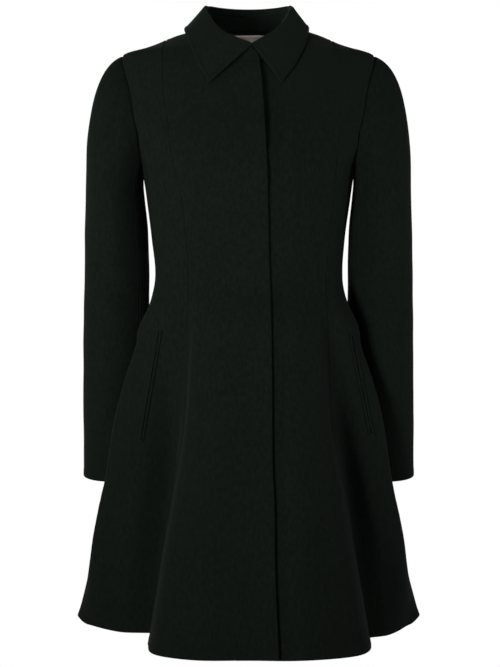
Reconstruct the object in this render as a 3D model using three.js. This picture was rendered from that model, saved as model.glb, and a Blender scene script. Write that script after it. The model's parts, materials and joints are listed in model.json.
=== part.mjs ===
// A flared wool coat, filled out, with long sleeves. Millimetres, +Z up, front towards -Y.
// The origin is on the centre line, level with the points where the shoulders meet the neck.
// Sides are the wearer's: the right side of the coat is at -X.
import * as THREE from 'three';

const wall = 2.4;
const seamGap = 0.3;
const degrees = Math.PI / 180;
const roundness = 2.2;
const coatColour = 0x17181a;
const labelColour = 0xd9cdc9;

// Heights of the landmarks.
const neckPointZ = 5.7;
const shoulderTipZ = -33;
const underarmZ = -205;
const skirtStartZ = -370;
const skirtFullZ = -450;
const hemZ = -868;

// The body above the skirt is a stack of rounded sections, one row for each height.
const bodySections = [
  { z: 10, half: 57, front: 24, back: 53 },
  { z: 5.7, half: 70, front: 30, back: 57 },
  { z: 0, half: 88, front: 38, back: 62 },
  { z: -7, half: 107.5, front: 48, back: 68 },
  { z: -13, half: 120.5, front: 55, back: 72 },
  { z: -19, half: 134.5, front: 60, back: 76 },
  { z: -25, half: 152, front: 65, back: 79 },
  { z: -33, half: 181, front: 70, back: 83 },
  { z: -46, half: 187, front: 79, back: 87 },
  { z: -60, half: 188, front: 87, back: 91 },
  { z: -110, half: 185, front: 108, back: 101 },
  { z: -160, half: 171, front: 126, back: 103 },
  { z: -205, half: 153, front: 134, back: 99 },
  { z: -250, half: 146, front: 127, back: 92 },
  { z: -300, half: 139, front: 113, back: 86 },
  { z: -350, half: 134.5, front: 103, back: 83 },
  { z: -400, half: 144, front: 110, back: 97 },
  { z: -450, half: 160, front: 120, back: 116 },
];

// The seams as seen from the front: distance of the front princess seam from the centre line on
// each side, of the back one, and of the edge of the right front, which laps over the left. The
// left front dips by the lap's depth under that edge.
const seamRows = [
  { z: -10, right: 118, left: 119, back: 112, edge: 15, lap: 3 },
  { z: -40, right: 121, left: 125, back: 112, edge: 15.5, lap: 3 },
  { z: -88, right: 119, left: 128.7, back: 108, edge: 19.2, lap: 6.5 },
  { z: -143, right: 112, left: 128, back: 98, edge: 22.5, lap: 6.5 },
  { z: -205, right: 102.6, left: 123.7, back: 86, edge: 25.7, lap: 5 },
  { z: -265, right: 90, left: 117.6, back: 75, edge: 27.4, lap: 4 },
  { z: -326, right: 85, left: 112, back: 67, edge: 28.7, lap: 3.6 },
  { z: -370, right: 83.2, left: 110, back: 65, edge: 30.3, lap: 3.6 },
  { z: -430, right: 85.2, left: 111.5, back: 68, edge: 31.9, lap: 3.8 },
  { z: -500, right: 87.5, left: 114, back: 76, edge: 32.6, lap: 4 },
  { z: -560, right: 91, left: 118, back: 86, edge: 32.6, lap: 4 },
  { z: -610, right: 97.5, left: 126.5, back: 96, edge: 33, lap: 4 },
  { z: -670, right: 108, left: 138, back: 106, edge: 35.4, lap: 4 },
  { z: -750, right: 121, left: 150.5, back: 119, edge: 36.2, lap: 4 },
  { z: -868, right: 139.5, left: 170, back: 138, edge: 41, lap: 4 },
];

// The fold lines of the skirt, from the centre front round to the centre back, with their place
// in plan at each of these heights. A ridge's x comes from its seam row. An x that starts at a
// ridge is measured from it, and a share is a share of the way between the folds beside it.
const foldHeights = [-450, -550, -645, -755, -868];
const foldLines = {
  frontMiddle: { y: [-121, -144, -168, -193, -221] },
  frontCorner: { y: [-100, -121, -138, -158, -184] },
  frontRidge: { y: [-76, -81, -88, -97, -107] },
  valley: { beyondRidge: [24, 14, 6, 1, -5.5], y: [-66, -52, -38, -26, -17] },
  lobeFace: { share: [0.52, 0.5, 0.47, 0.44, 0.45], y: [-50, -46, -42, -26, -8] },
  lobeTip: { x: [161, 191, 207, 228, 237], y: [-18, -22, -17, 4, 36] },
  lobeUnder: { x: [151, 168, 180, 221, 255], y: [5, 9, 19, 46, 70] },
  sideTuck: { x: [141, 142, 143, 190, 249], y: [38, 52, 74, 86, 100] },
  backUnder: { x: [136, 146, 164, 206, 248], y: [68, 102, 130, 128, 130] },
  backTip: { x: [124, 158, 188, 206, 222], y: [88, 124, 150, 160, 162] },
  backValley: { x: [103, 124, 136, 146, 152], y: [101, 122, 138, 142, 136] },
  backRidge: { y: [110, 134, 156, 176, 196] },
  backMiddle: { y: [119, 146, 171, 195, 221] },
};

// The left side's valley is shallower, so it and the lobe's face lie further forward by this.
const leftForward = {
  valley: [0, 4, 12, 26, 44],
  lobeFace: [0, 3, 8, 16, 27],
};

// How the hem lifts at each fold line, from the level hem.
const hemLift = [0, 0, 0, 0, 0, 0, 4, 12, 14, 10, 5, 1, 0, 0, 0];

// Fold lines by number. Between the front ridge and the side, and between the side and the back
// ridge, the body's sections share the angle out in these steps.
const frontRidgeFold = 3;
const sideFold = 8;
const backRidgeFold = 12;
const centreBackFold = 14;
const frontShares = [0, 0.4, 0.78, 1];
const backShares = [0, 0.25, 0.5, 0.75, 1];

// A smooth curve through a table's rows, without overshoot.
function along(rows, column, z) {
  const falling = rows[0].z > rows[rows.length - 1].z;
  const ordered = falling ? rows : [...rows].reverse();
  if (z >= ordered[0].z) return ordered[0][column];
  const last = ordered.length - 1;
  if (z <= ordered[last].z) return ordered[last][column];
  let i = 0;
  while (ordered[i + 1].z > z) i += 1;
  const slope = (k) => {
    const a = ordered[k];
    const b = ordered[k + 1];
    return (b[column] - a[column]) / (b.z - a.z);
  };
  const tangent = (k) => {
    if (k === 0) return slope(0);
    if (k === last) return slope(last - 1);
    const before = slope(k - 1);
    const after = slope(k);
    if (before * after <= 0) return 0;
    return (2 * before * after) / (before + after);
  };
  const start = ordered[i];
  const end = ordered[i + 1];
  const step = end.z - start.z;
  const t = (z - start.z) / step;
  const rise = end[column] - start[column];
  const startBend = tangent(i) * step;
  const endBend = tangent(i + 1) * step;
  const eased = t * t * (3 - 2 * t);
  const near = t * (1 - t) * (1 - t);
  const far = t * t * (1 - t);
  return start[column] + rise * eased + startBend * near - endBend * far;
}

function atHeights(values, z) {
  const rows = foldHeights.map((height, i) => ({ z: height, value: values[i] }));
  return along(rows, 'value', z);
}

const clamp = (value, low, high) => Math.min(high, Math.max(low, value));
const mix = (a, b, t) => a + (b - a) * t;
const ease = (t) => t * t * (3 - 2 * t);

// The rounded section at a height. The angle is 0 at the centre front, 90 degrees at the side.
function sectionPoint(angle, z) {
  const half = along(bodySections, 'half', z);
  const depth = angle < 90 * degrees
    ? -along(bodySections, 'front', z)
    : along(bodySections, 'back', z);
  const power = 2 / roundness;
  const x = half * Math.sin(angle) ** power;
  const y = depth * Math.abs(Math.cos(angle)) ** power;
  return [x, y];
}

function angleAtX(x, z) {
  const half = along(bodySections, 'half', z);
  const share = clamp(x / half, 0, 1) ** (roundness / 2);
  return Math.asin(share);
}

// The angle of a fold line on the body, from its number, which may lie between two folds.
function foldAngle(fold, side, z) {
  const front = angleAtX(along(seamRows, side, z), z);
  const back = Math.PI - angleAtX(along(seamRows, 'back', z), z);
  const quarter = 90 * degrees;
  if (fold <= frontRidgeFold) {
    const i = Math.min(Math.floor(fold), frontRidgeFold - 1);
    return front * mix(frontShares[i], frontShares[i + 1], fold - i);
  }
  if (fold <= sideFold) {
    const share = (fold - frontRidgeFold) / (sideFold - frontRidgeFold);
    return mix(front, quarter, share);
  }
  if (fold <= backRidgeFold) {
    const i = Math.min(Math.floor(fold) - sideFold, backShares.length - 2);
    const share = mix(backShares[i], backShares[i + 1], fold - sideFold - i);
    return mix(quarter, back, share);
  }
  const share = (fold - backRidgeFold) / (centreBackFold - backRidgeFold);
  return mix(back, Math.PI, share);
}

// The places of the fold lines in plan at one height.
function foldPlan(side, z) {
  const line = foldLines;
  const y = (name) => atHeights(line[name].y, z);
  const x = (name) => atHeights(line[name].x, z);
  const ridge = along(seamRows, side, z);
  const backRidge = along(seamRows, 'back', z);
  const valley = ridge + atHeights(line.valley.beyondRidge, z);
  const tip = x('lobeTip');
  const face = mix(valley, tip, atHeights(line.lobeFace.share, z));
  const forward = (name) => (side === 'left' ? atHeights(leftForward[name], z) : 0);
  return [
    [0, y('frontMiddle') - 1],
    [ridge * 0.5, y('frontMiddle')],
    [ridge * 0.89, y('frontCorner')],
    [ridge, y('frontRidge')],
    [valley, y('valley') - forward('valley')],
    [face, y('lobeFace') - forward('lobeFace')],
    [tip, y('lobeTip')],
    [x('lobeUnder'), y('lobeUnder')],
    [x('sideTuck'), y('sideTuck')],
    [x('backUnder'), y('backUnder')],
    [x('backTip'), y('backTip')],
    [x('backValley'), y('backValley')],
    [backRidge, y('backRidge')],
    [backRidge * 0.52, y('backMiddle')],
    [0, y('backMiddle') + 1],
  ];
}

const planCache = new Map();
function cachedPlan(side, z) {
  const key = `${side} ${z.toFixed(4)}`;
  if (!planCache.has(key)) planCache.set(key, foldPlan(side, z));
  return planCache.get(key);
}

// A smooth line through the fold lines at one height, at a fold number.
function skirtPoint(fold, side, z) {
  const plan = cachedPlan(side, z);
  const last = plan.length - 1;
  const place = (k) => {
    if (k < 0) return [-plan[-k][0], plan[-k][1]];
    if (k > last) return [-plan[2 * last - k][0], plan[2 * last - k][1]];
    return plan[k];
  };
  const i = clamp(Math.floor(fold), 0, last - 1);
  const t = fold - i;
  const length = (k) => {
    const a = place(k);
    const b = place(k + 1);
    return Math.hypot(b[0] - a[0], b[1] - a[1]);
  };
  const here = length(i);
  const tangent = (k, axis) => {
    const before = length(k - 1);
    const after = length(k);
    const into = (place(k)[axis] - place(k - 1)[axis]) / before;
    const out = (place(k + 1)[axis] - place(k)[axis]) / after;
    return ((into * after + out * before) / (before + after)) * here;
  };
  return [0, 1].map((axis) => {
    const start = place(i)[axis];
    const end = place(i + 1)[axis];
    const bend = tangent(i, axis) * t * (1 - t) ** 2 - tangent(i + 1, axis) * t * t * (1 - t);
    return start + (end - start) * ease(t) + bend;
  });
}

// A point of the coat's body. The fold number runs from 0 at the centre front to 14 at the centre
// back, below zero on the right side. The level is the height before the hem's lift.
function bodyPoint(anyFold, level) {
  let fold = anyFold;
  if (fold > centreBackFold) fold -= 2 * centreBackFold;
  if (fold < -centreBackFold) fold += 2 * centreBackFold;
  const side = fold < 0 ? 'right' : 'left';
  const number = Math.abs(fold);
  const blend = ease(clamp((skirtStartZ - level) / (skirtStartZ - skirtFullZ), 0, 1));
  let x = 0;
  let y = 0;
  if (blend < 1) {
    const point = sectionPoint(foldAngle(number, side, level), level);
    x += point[0] * (1 - blend);
    y += point[1] * (1 - blend);
  }
  if (blend > 0) {
    const point = skirtPoint(number, side, Math.max(level, hemZ));
    x += point[0] * blend;
    y += point[1] * blend;
  }
  const drop = clamp((skirtStartZ - level) / (skirtStartZ - hemZ), 0, 1);
  const i = Math.min(Math.floor(number), centreBackFold - 1);
  const lift = mix(hemLift[i], hemLift[i + 1], ease(number - i));
  return new THREE.Vector3(fold < 0 ? -x : x, y, level + lift * drop);
}

// The direction out of a rounded section, from how the section grows with its height.
const slopeStep = 0.5;
function outOfSection(fold, level) {
  const point = bodyPoint(fold, level);
  const front = along(bodySections, 'front', level);
  const back = along(bodySections, 'back', level);
  const column = point.y < 0 ? 'front' : 'back';
  const depth = point.y < 0 ? front : back;
  const half = along(bodySections, 'half', level);
  const growth = (name) => {
    const above = along(bodySections, name, level + slopeStep);
    const below = along(bodySections, name, level - slopeStep);
    return (above - below) / (2 * slopeStep);
  };
  const x = Math.abs(point.x) / half;
  const y = Math.abs(point.y) / depth;
  const across = (x ** (roundness - 1) / half) * Math.sign(point.x);
  const deep = (y ** (roundness - 1) / depth) * Math.sign(point.y);
  const rise = (x ** roundness * growth('half')) / half + (y ** roundness * growth(column)) / depth;
  return new THREE.Vector3(across, deep, -rise).normalize();
}

// The direction out of the skirt, from its neighbouring points.
const foldStep = 0.02;
function outward(fold, level) {
  if (level > skirtStartZ) return outOfSection(fold, level);
  const before = bodyPoint(fold - foldStep, level);
  const after = bodyPoint(fold + foldStep, level);
  const below = bodyPoint(fold, Math.max(level - slopeStep, hemZ));
  const above = bodyPoint(fold, level + slopeStep);
  return after.sub(before).cross(above.sub(below)).normalize();
}

// The number between two others at which a rising function reaches a value.
function solve(wanted, low, high, rising) {
  let from = low;
  let to = high;
  for (let i = 0; i < 36; i += 1) {
    const middle = (from + to) / 2;
    if (rising(middle) < wanted) from = middle;
    else to = middle;
  }
  return (from + to) / 2;
}

// The armhole: an oval on the body, with how far its front and back edges are from the side.
const armhole = {
  front: 28 * degrees,
  back: 25 * degrees,
  middle: (shoulderTipZ + underarmZ) / 2,
  half: (shoulderTipZ - underarmZ) / 2,
};

function armholeX(z, isFront) {
  const level = Math.min(z, shoulderTipZ);
  const t = clamp((level - armhole.middle) / armhole.half, -1, 1);
  const share = Math.sqrt(1 - t * t);
  const reach = isFront ? armhole.front : armhole.back;
  const angle = 90 * degrees - reach * share;
  return sectionPoint(angle, level)[0];
}

// The top edge of the body at an x: the neckline, and the shoulder seam beyond the neck point.
const neckFront = [
  { z: 0, level: -54 },
  { z: -18, level: -52 },
  { z: -36, level: -44 },
  { z: -52, level: -30 },
  { z: -63, level: -13 },
  { z: -69, level: 1 },
  { z: -70, level: neckPointZ },
];
const neckHalf = 70;
const neckBackRise = 4.3;

function topLevel(x, isFront) {
  const reach = Math.abs(x);
  if (reach >= neckHalf) {
    const halfAt = (level) => -along(bodySections, 'half', level);
    return solve(-reach, shoulderTipZ, neckPointZ, halfAt);
  }
  if (isFront) return along(neckFront, 'level', -reach);
  return neckPointZ + neckBackRise * (1 - (reach / neckHalf) ** 2);
}

// The fold number of the armhole's edge, and of the side seam below it.
function armholeFold(side, z, kind) {
  if (z <= underarmZ) return sideFold;
  return foldAt(side, z, armholeX(z, kind.isFront), kind);
}

// The four kinds of panel between two seams. Distances are from the centre line, outwards on the
// panel's own side, and fold numbers rise from the front to the back.
const underlap = 16;
const panelKinds = {
  front: {
    isFront: true,
    folds: [-frontRidgeFold, frontRidgeFold],
    inner: (side, z) => (side === 'right' ? -along(seamRows, 'edge', z) : -underlap),
    outer: (side, z) => along(seamRows, side, z),
    innerFold: (side, z, kind) => foldAt(side, z, kind.inner(side, z), kind),
    outerFold: () => frontRidgeFold,
  },
  sideFront: {
    isFront: true,
    folds: [frontRidgeFold, sideFold],
    inner: (side, z) => along(seamRows, side, z),
    outer: (side, z) => armholeX(z, true),
    innerFold: () => frontRidgeFold,
    outerFold: armholeFold,
  },
  sideBack: {
    isFront: false,
    folds: [sideFold, backRidgeFold],
    inner: (side, z) => along(seamRows, 'back', z),
    outer: (side, z) => armholeX(z, false),
    innerFold: () => backRidgeFold,
    outerFold: armholeFold,
  },
  back: {
    isFront: false,
    folds: [backRidgeFold, centreBackFold],
    inner: () => 0,
    outer: (side, z) => along(seamRows, 'back', z),
    innerFold: () => centreBackFold,
    outerFold: () => backRidgeFold,
  },
};

// The fold number on a panel at a distance from the centre line.
function foldAt(side, level, x, kind) {
  const sign = side === 'right' ? -1 : 1;
  const [low, high] = kind.folds;
  if (kind.isFront) {
    return solve(x, low, high, (fold) => sign * bodyPoint(sign * fold, level).x);
  }
  return solve(-x, low, high, (fold) => -sign * bodyPoint(sign * fold, level).x);
}

// The columns of a panel follow the distance from the centre line down to this level, and turn to
// follow the fold lines by the underarm.
const upperZ = -110;
const upperRows = 6;
const upperCrowding = 1.7;
const lowerLevels = [
  -131, -152, -172, -188, -198.5, -204.3, -225, -250, -280, -315, -345, -372, -396,
  -422, -450, -485, -525, -565, -605, -645, -690, -735, -780, -825, hemZ,
];

function panelCell(kind, side, share, level, inset) {
  const sign = side === 'right' ? -1 : 1;
  const x = mix(kind.inner(side, level), kind.outer(side, level), share);
  const turn = ease(clamp((upperZ - level) / (upperZ - underarmZ), 0, 1));
  let fold = 0;
  if (turn < 1) fold += foldAt(side, level, x, kind) * (1 - turn);
  if (turn > 0) {
    const innerFold = kind.innerFold(side, level, kind);
    fold += mix(innerFold, kind.outerFold(side, level, kind), share) * turn;
  }
  const out = outward(sign * fold, level);
  const point = bodyPoint(sign * fold, level);
  point.addScaledVector(out, -inset(point.x * sign, level));
  return { point, out };
}

function panelGrid(kind, side, shares, inset = () => 0) {
  const columns = shares.map((share) => {
    const distance = (level) => mix(kind.inner(side, level), kind.outer(side, level), share);
    const overTop = (level) => level - topLevel(distance(level), kind.isFront);
    const top = solve(0, upperZ, neckPointZ + neckBackRise, overTop);
    const cells = [];
    for (let i = 0; i <= upperRows; i += 1) {
      const level = mix(top, upperZ, (i / upperRows) ** upperCrowding);
      cells.push(panelCell(kind, side, share, level, inset));
    }
    for (const level of lowerLevels) cells.push(panelCell(kind, side, share, level, inset));
    return cells;
  });
  const grid = columns[0].map((_, i) => columns.map((cells) => cells[i]));
  const isMirrored = (side === 'right') === kind.isFront;
  return isMirrored ? grid.map((row) => row.reverse()) : grid;
}

function evenShares(count) {
  return Array.from({ length: count + 1 }, (_, i) => i / count);
}

// A closed solid from a grid of points on its outer face and the directions out of that face.
function wallSolid(grid, thickness) {
  const rows = grid.length;
  const columns = grid[0].length;
  const positions = [];
  for (const depth of [0, thickness]) {
    for (const cell of grid.flat()) {
      const point = cell.point.clone().addScaledVector(cell.out, -depth);
      positions.push(point.x, point.y, point.z);
    }
  }
  const face = (i, j) => i * columns + j;
  const back = (i, j) => rows * columns + i * columns + j;
  const index = [];
  const quad = (a, b, c, d) => index.push(a, b, c, a, c, d);
  const lastRow = rows - 1;
  const lastColumn = columns - 1;
  for (let i = 0; i < lastRow; i += 1) {
    for (let j = 0; j < lastColumn; j += 1) {
      quad(face(i, j), face(i + 1, j), face(i + 1, j + 1), face(i, j + 1));
      quad(back(i, j), back(i, j + 1), back(i + 1, j + 1), back(i + 1, j));
    }
    quad(face(i + 1, 0), face(i, 0), back(i, 0), back(i + 1, 0));
    quad(face(i + 1, lastColumn), back(i + 1, lastColumn), back(i, lastColumn), face(i, lastColumn));
  }
  for (let j = 0; j < lastColumn; j += 1) {
    quad(face(0, j), face(0, j + 1), back(0, j + 1), back(0, j));
    quad(face(lastRow, j + 1), face(lastRow, j), back(lastRow, j), back(lastRow, j + 1));
  }
  const geometry = new THREE.BufferGeometry();
  geometry.setAttribute('position', new THREE.Float32BufferAttribute(positions, 3));
  geometry.setIndex(index);
  return geometry;
}

// Moves an edge of a grid in by half a seam gap, square to the edge, so that neighbours stay clear.
function drawEdgeIn(edge, next) {
  const last = edge.length - 1;
  const ways = edge.map((cell, i) => {
    const before = edge[Math.max(i - 1, 0)].point;
    const after = edge[Math.min(i + 1, last)].point;
    const run = after.clone().sub(before).normalize();
    const way = next[i].point.clone().sub(cell.point);
    way.addScaledVector(run, -way.dot(run));
    way.addScaledVector(cell.out, -way.dot(cell.out));
    return way.normalize();
  });
  edge.forEach((cell, i) => cell.point.addScaledVector(ways[i], seamGap / 2));
}

function openSides(grid) {
  const last = grid[0].length - 1;
  const column = (j) => grid.map((row) => row[j]);
  drawEdgeIn(column(0), column(1));
  drawEdgeIn(column(last), column(last - 1));
  return grid;
}

function openSeams(grid) {
  openSides(grid);
  drawEdgeIn(grid[0], grid[1]);
  return grid;
}

// Works out the directions out of a grid's face from its neighbouring points. The last column of
// a closed grid is its first one again.
function withDirections(points, isClosed = false) {
  const lastRow = points.length - 1;
  const lastColumn = points[0].length - 1;
  return points.map((row, i) => row.map((point, j) => {
    const left = isClosed && j === 0 ? row[lastColumn - 1] : row[Math.max(j - 1, 0)];
    const right = isClosed && j === lastColumn ? row[1] : row[Math.min(j + 1, lastColumn)];
    const over = points[Math.max(i - 1, 0)][j];
    const under = points[Math.min(i + 1, lastRow)][j];
    const across = right.clone().sub(left);
    const up = over.clone().sub(under);
    return { point: point.clone(), out: across.cross(up).normalize() };
  }));
}

const coat = new THREE.Group();
coat.name = 'flared_coat';

function add(name, geometry, colour = coatColour) {
  const material = new THREE.MeshStandardMaterial({ color: colour, roughness: 0.95, metalness: 0 });
  material.name = `${name}_material`;
  const mesh = new THREE.Mesh(geometry, material);
  mesh.name = name;
  coat.add(mesh);
}

// The left front dips under the right one, and comes up again beyond the edge that laps it.
const lapBeyond = 7;
const lapRise = 30;
const leftFrontInset = (x, level) => {
  const beyond = x - along(seamRows, 'edge', level) - lapBeyond;
  return along(seamRows, 'lap', level) * (1 - ease(clamp(beyond / lapRise, 0, 1)));
};

const frontShareList = [0, 0.1, 0.22, 0.34, 0.46, 0.56, 0.67, 0.78, 0.89, 1];
const panels = [
  { name: 'front', kind: panelKinds.front, shares: frontShareList },
  { name: 'side_front', kind: panelKinds.sideFront, shares: evenShares(10) },
  { name: 'side_back', kind: panelKinds.sideBack, shares: evenShares(8) },
];
for (const side of ['right', 'left']) {
  for (const { name, kind, shares } of panels) {
    const isUnder = kind === panelKinds.front && side === 'left';
    const inset = isUnder ? leftFrontInset : () => 0;
    const grid = panelGrid(kind, side, shares, inset);
    add(`${name}_${side}`, wallSolid(openSeams(grid), wall));
  }
}

const backShareList = evenShares(6);
const leftBack = panelGrid(panelKinds.back, 'left', backShareList);
const rightBack = panelGrid(panelKinds.back, 'right', backShareList);
const backGrid = leftBack.map((row, i) => [...row, ...rightBack[i].slice(1)]);
add('back', wallSolid(openSeams(backGrid), wall));

// The sleeve hangs from the armhole through level rings, one row for each height, with the middle
// of the ring and its half sizes across and from front to back.
const sleeveRings = [
  { z: -238, x: 193, y: 2, across: 43, deep: 62 },
  { z: -290, x: 191.7, y: 8, across: 45.8, deep: 58 },
  { z: -350, x: 192.3, y: 20, across: 47.3, deep: 54 },
  { z: -430, x: 194.7, y: 41, across: 47.7, deep: 50 },
  { z: -540, x: 199.5, y: 62, across: 46, deep: 47 },
  { z: -647, x: 204, y: 80, across: 43, deep: 44 },
];
const capEndZ = sleeveRings[0].z;
const cuffZ = sleeveRings[sleeveRings.length - 1].z;
const capRows = 7;
const elbowZ = -350;
const sleeveLevels = [-262, -290, -320, elbowZ, -380, -415, -455, -500, -545, -595, cuffZ];
const capRun = { top: 178, bottom: 26 };
const capLift = 0.35;
const capGap = 0.5;
const cuffTilt = 0.16;

// A point of the armhole. The turn is 0 at the shoulder tip, and grows towards the front.
function armholePoint(turn, sign) {
  const level = armhole.middle + armhole.half * Math.cos(turn);
  const share = Math.abs(Math.sin(turn));
  const isFront = Math.sin(turn) > 0;
  const angle = isFront ? 90 * degrees - armhole.front * share : 90 * degrees + armhole.back * share;
  const [x, y] = sectionPoint(angle, level);
  return new THREE.Vector3(sign * x, y, level);
}

function sleeveRingPoint(turn, level, sign) {
  const ring = (column) => along(sleeveRings, column, level);
  const across = ring('across') * Math.cos(turn);
  const deep = -ring('deep') * Math.sin(turn);
  const tilt = cuffTilt * clamp((capEndZ - level) / (capEndZ - cuffZ), 0, 1);
  return new THREE.Vector3(sign * (ring('x') + across), ring('y') + deep, level + tilt * deep);
}

// The sleeve cap runs out of the armhole and turns down into the first ring.
function capPoint(turn, t, sign) {
  const top = (1 + Math.cos(turn)) / 2;
  const way = new THREE.Vector3(
    sign * (0.22 + 0.78 * top),
    -0.22 * Math.sin(turn),
    -(1 - 0.78 * top),
  ).normalize();
  const start = armholePoint(turn, sign);
  const bodyOut = new THREE.Vector3(sign * (1 - top), 0, top).normalize();
  start.addScaledVector(bodyOut, capLift).addScaledVector(way, capGap);
  const end = sleeveRingPoint(turn, capEndZ, sign);
  const below = sleeveRingPoint(turn, capEndZ - 1, sign);
  const down = below.sub(end);
  const run = mix(capRun.bottom, capRun.top, top);
  const near = t * (1 - t) ** 2 * run;
  const far = t * t * (1 - t) * run;
  const point = start.clone().lerp(end, ease(t));
  return point.addScaledVector(way, near).addScaledVector(down, -far);
}

// The upper sleeve goes over the outside, from its back seam to its front one, which lies inwards
// of the sleeve's front.
const backSeam = -112 * degrees;
const frontSeam = 138 * degrees;
const upperColumns = 13;
const underColumns = 6;

function sleeveGrid(sign) {
  const fullTurn = 360 * degrees;
  const upper = evenShares(upperColumns).map((share) => mix(backSeam, frontSeam, share));
  const under = evenShares(underColumns).map((share) => mix(frontSeam, fullTurn + backSeam, share));
  const turns = [...upper, ...under.slice(1)];
  const points = [];
  for (let i = 0; i < capRows; i += 1) {
    points.push(turns.map((turn) => capPoint(turn, i / capRows, sign)));
  }
  for (const level of [capEndZ, ...sleeveLevels]) {
    points.push(turns.map((turn) => sleeveRingPoint(turn, level, sign)));
  }
  if (sign > 0) points.forEach((row) => row.reverse());
  return withDirections(points, true);
}

// Copies some rows and columns of a grid, and moves both ends of each row in by half a seam gap.
function partOf(grid, [top, bottom], [from, to]) {
  const rows = grid.slice(top, bottom + 1).map((row) => row.slice(from, to + 1));
  return openSides(rows.map((row) => row.map(({ point, out }) => ({ point: point.clone(), out }))));
}

// The upper sleeve is cut in one piece. Its solid is in two simpler ones, which meet at the elbow.
const elbowRow = capRows + 1 + sleeveLevels.indexOf(elbowZ);
for (const side of ['right', 'left']) {
  const grid = sleeveGrid(side === 'left' ? 1 : -1);
  const lastRow = grid.length - 1;
  const all = upperColumns + underColumns;
  const upperRange = side === 'left' ? [underColumns, all] : [0, upperColumns];
  const underRange = side === 'left' ? [0, underColumns] : [upperColumns, all];
  const upperArm = partOf(grid, [0, elbowRow], upperRange);
  const forearm = partOf(grid, [elbowRow, lastRow], upperRange);
  drawEdgeIn(upperArm[elbowRow], upperArm[elbowRow - 1]);
  drawEdgeIn(forearm[0], forearm[1]);
  add(`sleeve_${side}_upper`, wallSolid(upperArm, wall));
  add(`sleeve_${side}_upper_forearm`, wallSolid(forearm, wall));
  add(`sleeve_${side}_under`, wallSolid(partOf(grid, [0, lastRow], underRange), wall));
}

// The collar, one row for each station from the centre back to the front. The stand's foot is at
// an x on the neckline, and its top is the fold. The fall's edge is at an x and level on the body,
// and the fall bulges on the way there. The left side's edge lies further in, and its fold further
// back where the right stand laps it. The shift moves both sides towards the left.
const collarRows = [
  { neck: 0, foldX: 0, foldY: 52.4, foldZ: 41.4, edgeX: 0, edgeZ: -14, bulge: 2.8 },
  { neck: 24, foldX: 22, foldY: 49.5, foldZ: 41.4, edgeX: 29, edgeZ: -14, bulge: 2.8 },
  { neck: 45, foldX: 41.7, foldY: 38.8, foldZ: 41.2, edgeX: 54, edgeZ: -12.5, bulge: 2, leftIn: 1 },
  { neck: 61, foldX: 56, foldY: 21, foldZ: 40.2, edgeX: 75, edgeZ: -7, bulge: 1, leftIn: 3 },
  { neck: 69.9, foldX: 61.4, foldY: 2, foldZ: 37, edgeX: 88, edgeZ: 3, bulge: 0, leftIn: 5 },
  { neck: 69.3, foldX: 60.3, foldY: -17.6, foldZ: 29, edgeX: 89, edgeZ: -8, bulge: 0, leftIn: 5 },
  { neck: 65.5, foldX: 54.6, foldY: -37, foldZ: 14.8, edgeX: 86, edgeZ: -19, bulge: 1, leftIn: 4 },
  { neck: 57, foldX: 45.2, foldY: -55.6, foldZ: 0.3, edgeX: 80.5, edgeZ: -35, bulge: 2, leftIn: 3 },
  { neck: 44, foldX: 33.3, foldY: -69, foldZ: -11.2, edgeX: 73.5, edgeZ: -52, bulge: 2.4, leftIn: 4 },
  {
    neck: 27, foldX: 19.8, foldY: -78, foldZ: -20.9, edgeX: 65, edgeZ: -70, bulge: 2.4, leftIn: 6,
    leftBack: 2.6, shift: 0.5,
  },
  {
    neck: 1, foldX: 0.6, foldY: -84, foldZ: -31.6, edgeX: 54, edgeZ: -89, bulge: 2.4, leftIn: 9.5,
    leftBack: 3.4, shift: 5.1,
  },
];
const neckPointRow = 4;

// The stand's ends run past the centre front, the right one over the left one.
const standEnds = {
  right: { neck: -17, foldX: -15, foldY: -81, foldZ: -38 },
  left: { neck: -12, foldX: -12, foldY: -78.6, foldZ: -38, leftBack: 3.4 },
};
const standRows = 4;
const standFoot = 0.5;

// The fall starts inside the neck, at its seam with the stand below the fold, and rolls over.
const seamBelowFold = 9;
const rollRadius = 0.8;
const rollSteps = 4;
const fallRows = 5;
const fallLift = wall + 5 * seamGap;

function neckPlace(x, isBack, sign) {
  const kind = isBack ? panelKinds.back : panelKinds.front;
  const side = sign < 0 ? 'right' : 'left';
  const level = topLevel(x, kind.isFront);
  const fold = sign * foldAt(side, level, x, kind);
  return bodyPoint(fold, level);
}

function foldPlace({ foldX, foldY, foldZ, leftBack = 0, shift = 0 }, sign) {
  const behind = sign > 0 ? leftBack : 0;
  return new THREE.Vector3(sign * foldX + shift, foldY + behind, foldZ);
}

function footPlace({ neck, leftBack = 0, shift = 0 }, isBack, sign) {
  const place = neckPlace(neck + sign * shift, isBack, sign);
  if (sign > 0) place.y += leftBack;
  return place;
}

function standSection(row, isBack, sign, topGap) {
  const foot = footPlace(row, isBack, sign);
  const top = foldPlace(row, sign);
  const up = top.clone().sub(foot).normalize();
  foot.addScaledVector(up, standFoot);
  top.addScaledVector(up, -topGap);
  return evenShares(standRows).map((share) => top.clone().lerp(foot, share));
}

function standGrid() {
  const half = (sign, side) => {
    const sections = collarRows.map((row, i) => (
      standSection(row, i <= neckPointRow, sign, seamBelowFold + 2 * seamGap)
    ));
    return [...sections, standSection(standEnds[side], false, sign, 0)];
  };
  const left = half(1, 'left').reverse();
  const right = half(-1, 'right').slice(1);
  const columns = [...left, ...right];
  return withDirections(columns[0].map((_, i) => columns.map((section) => section[i])));
}

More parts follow.
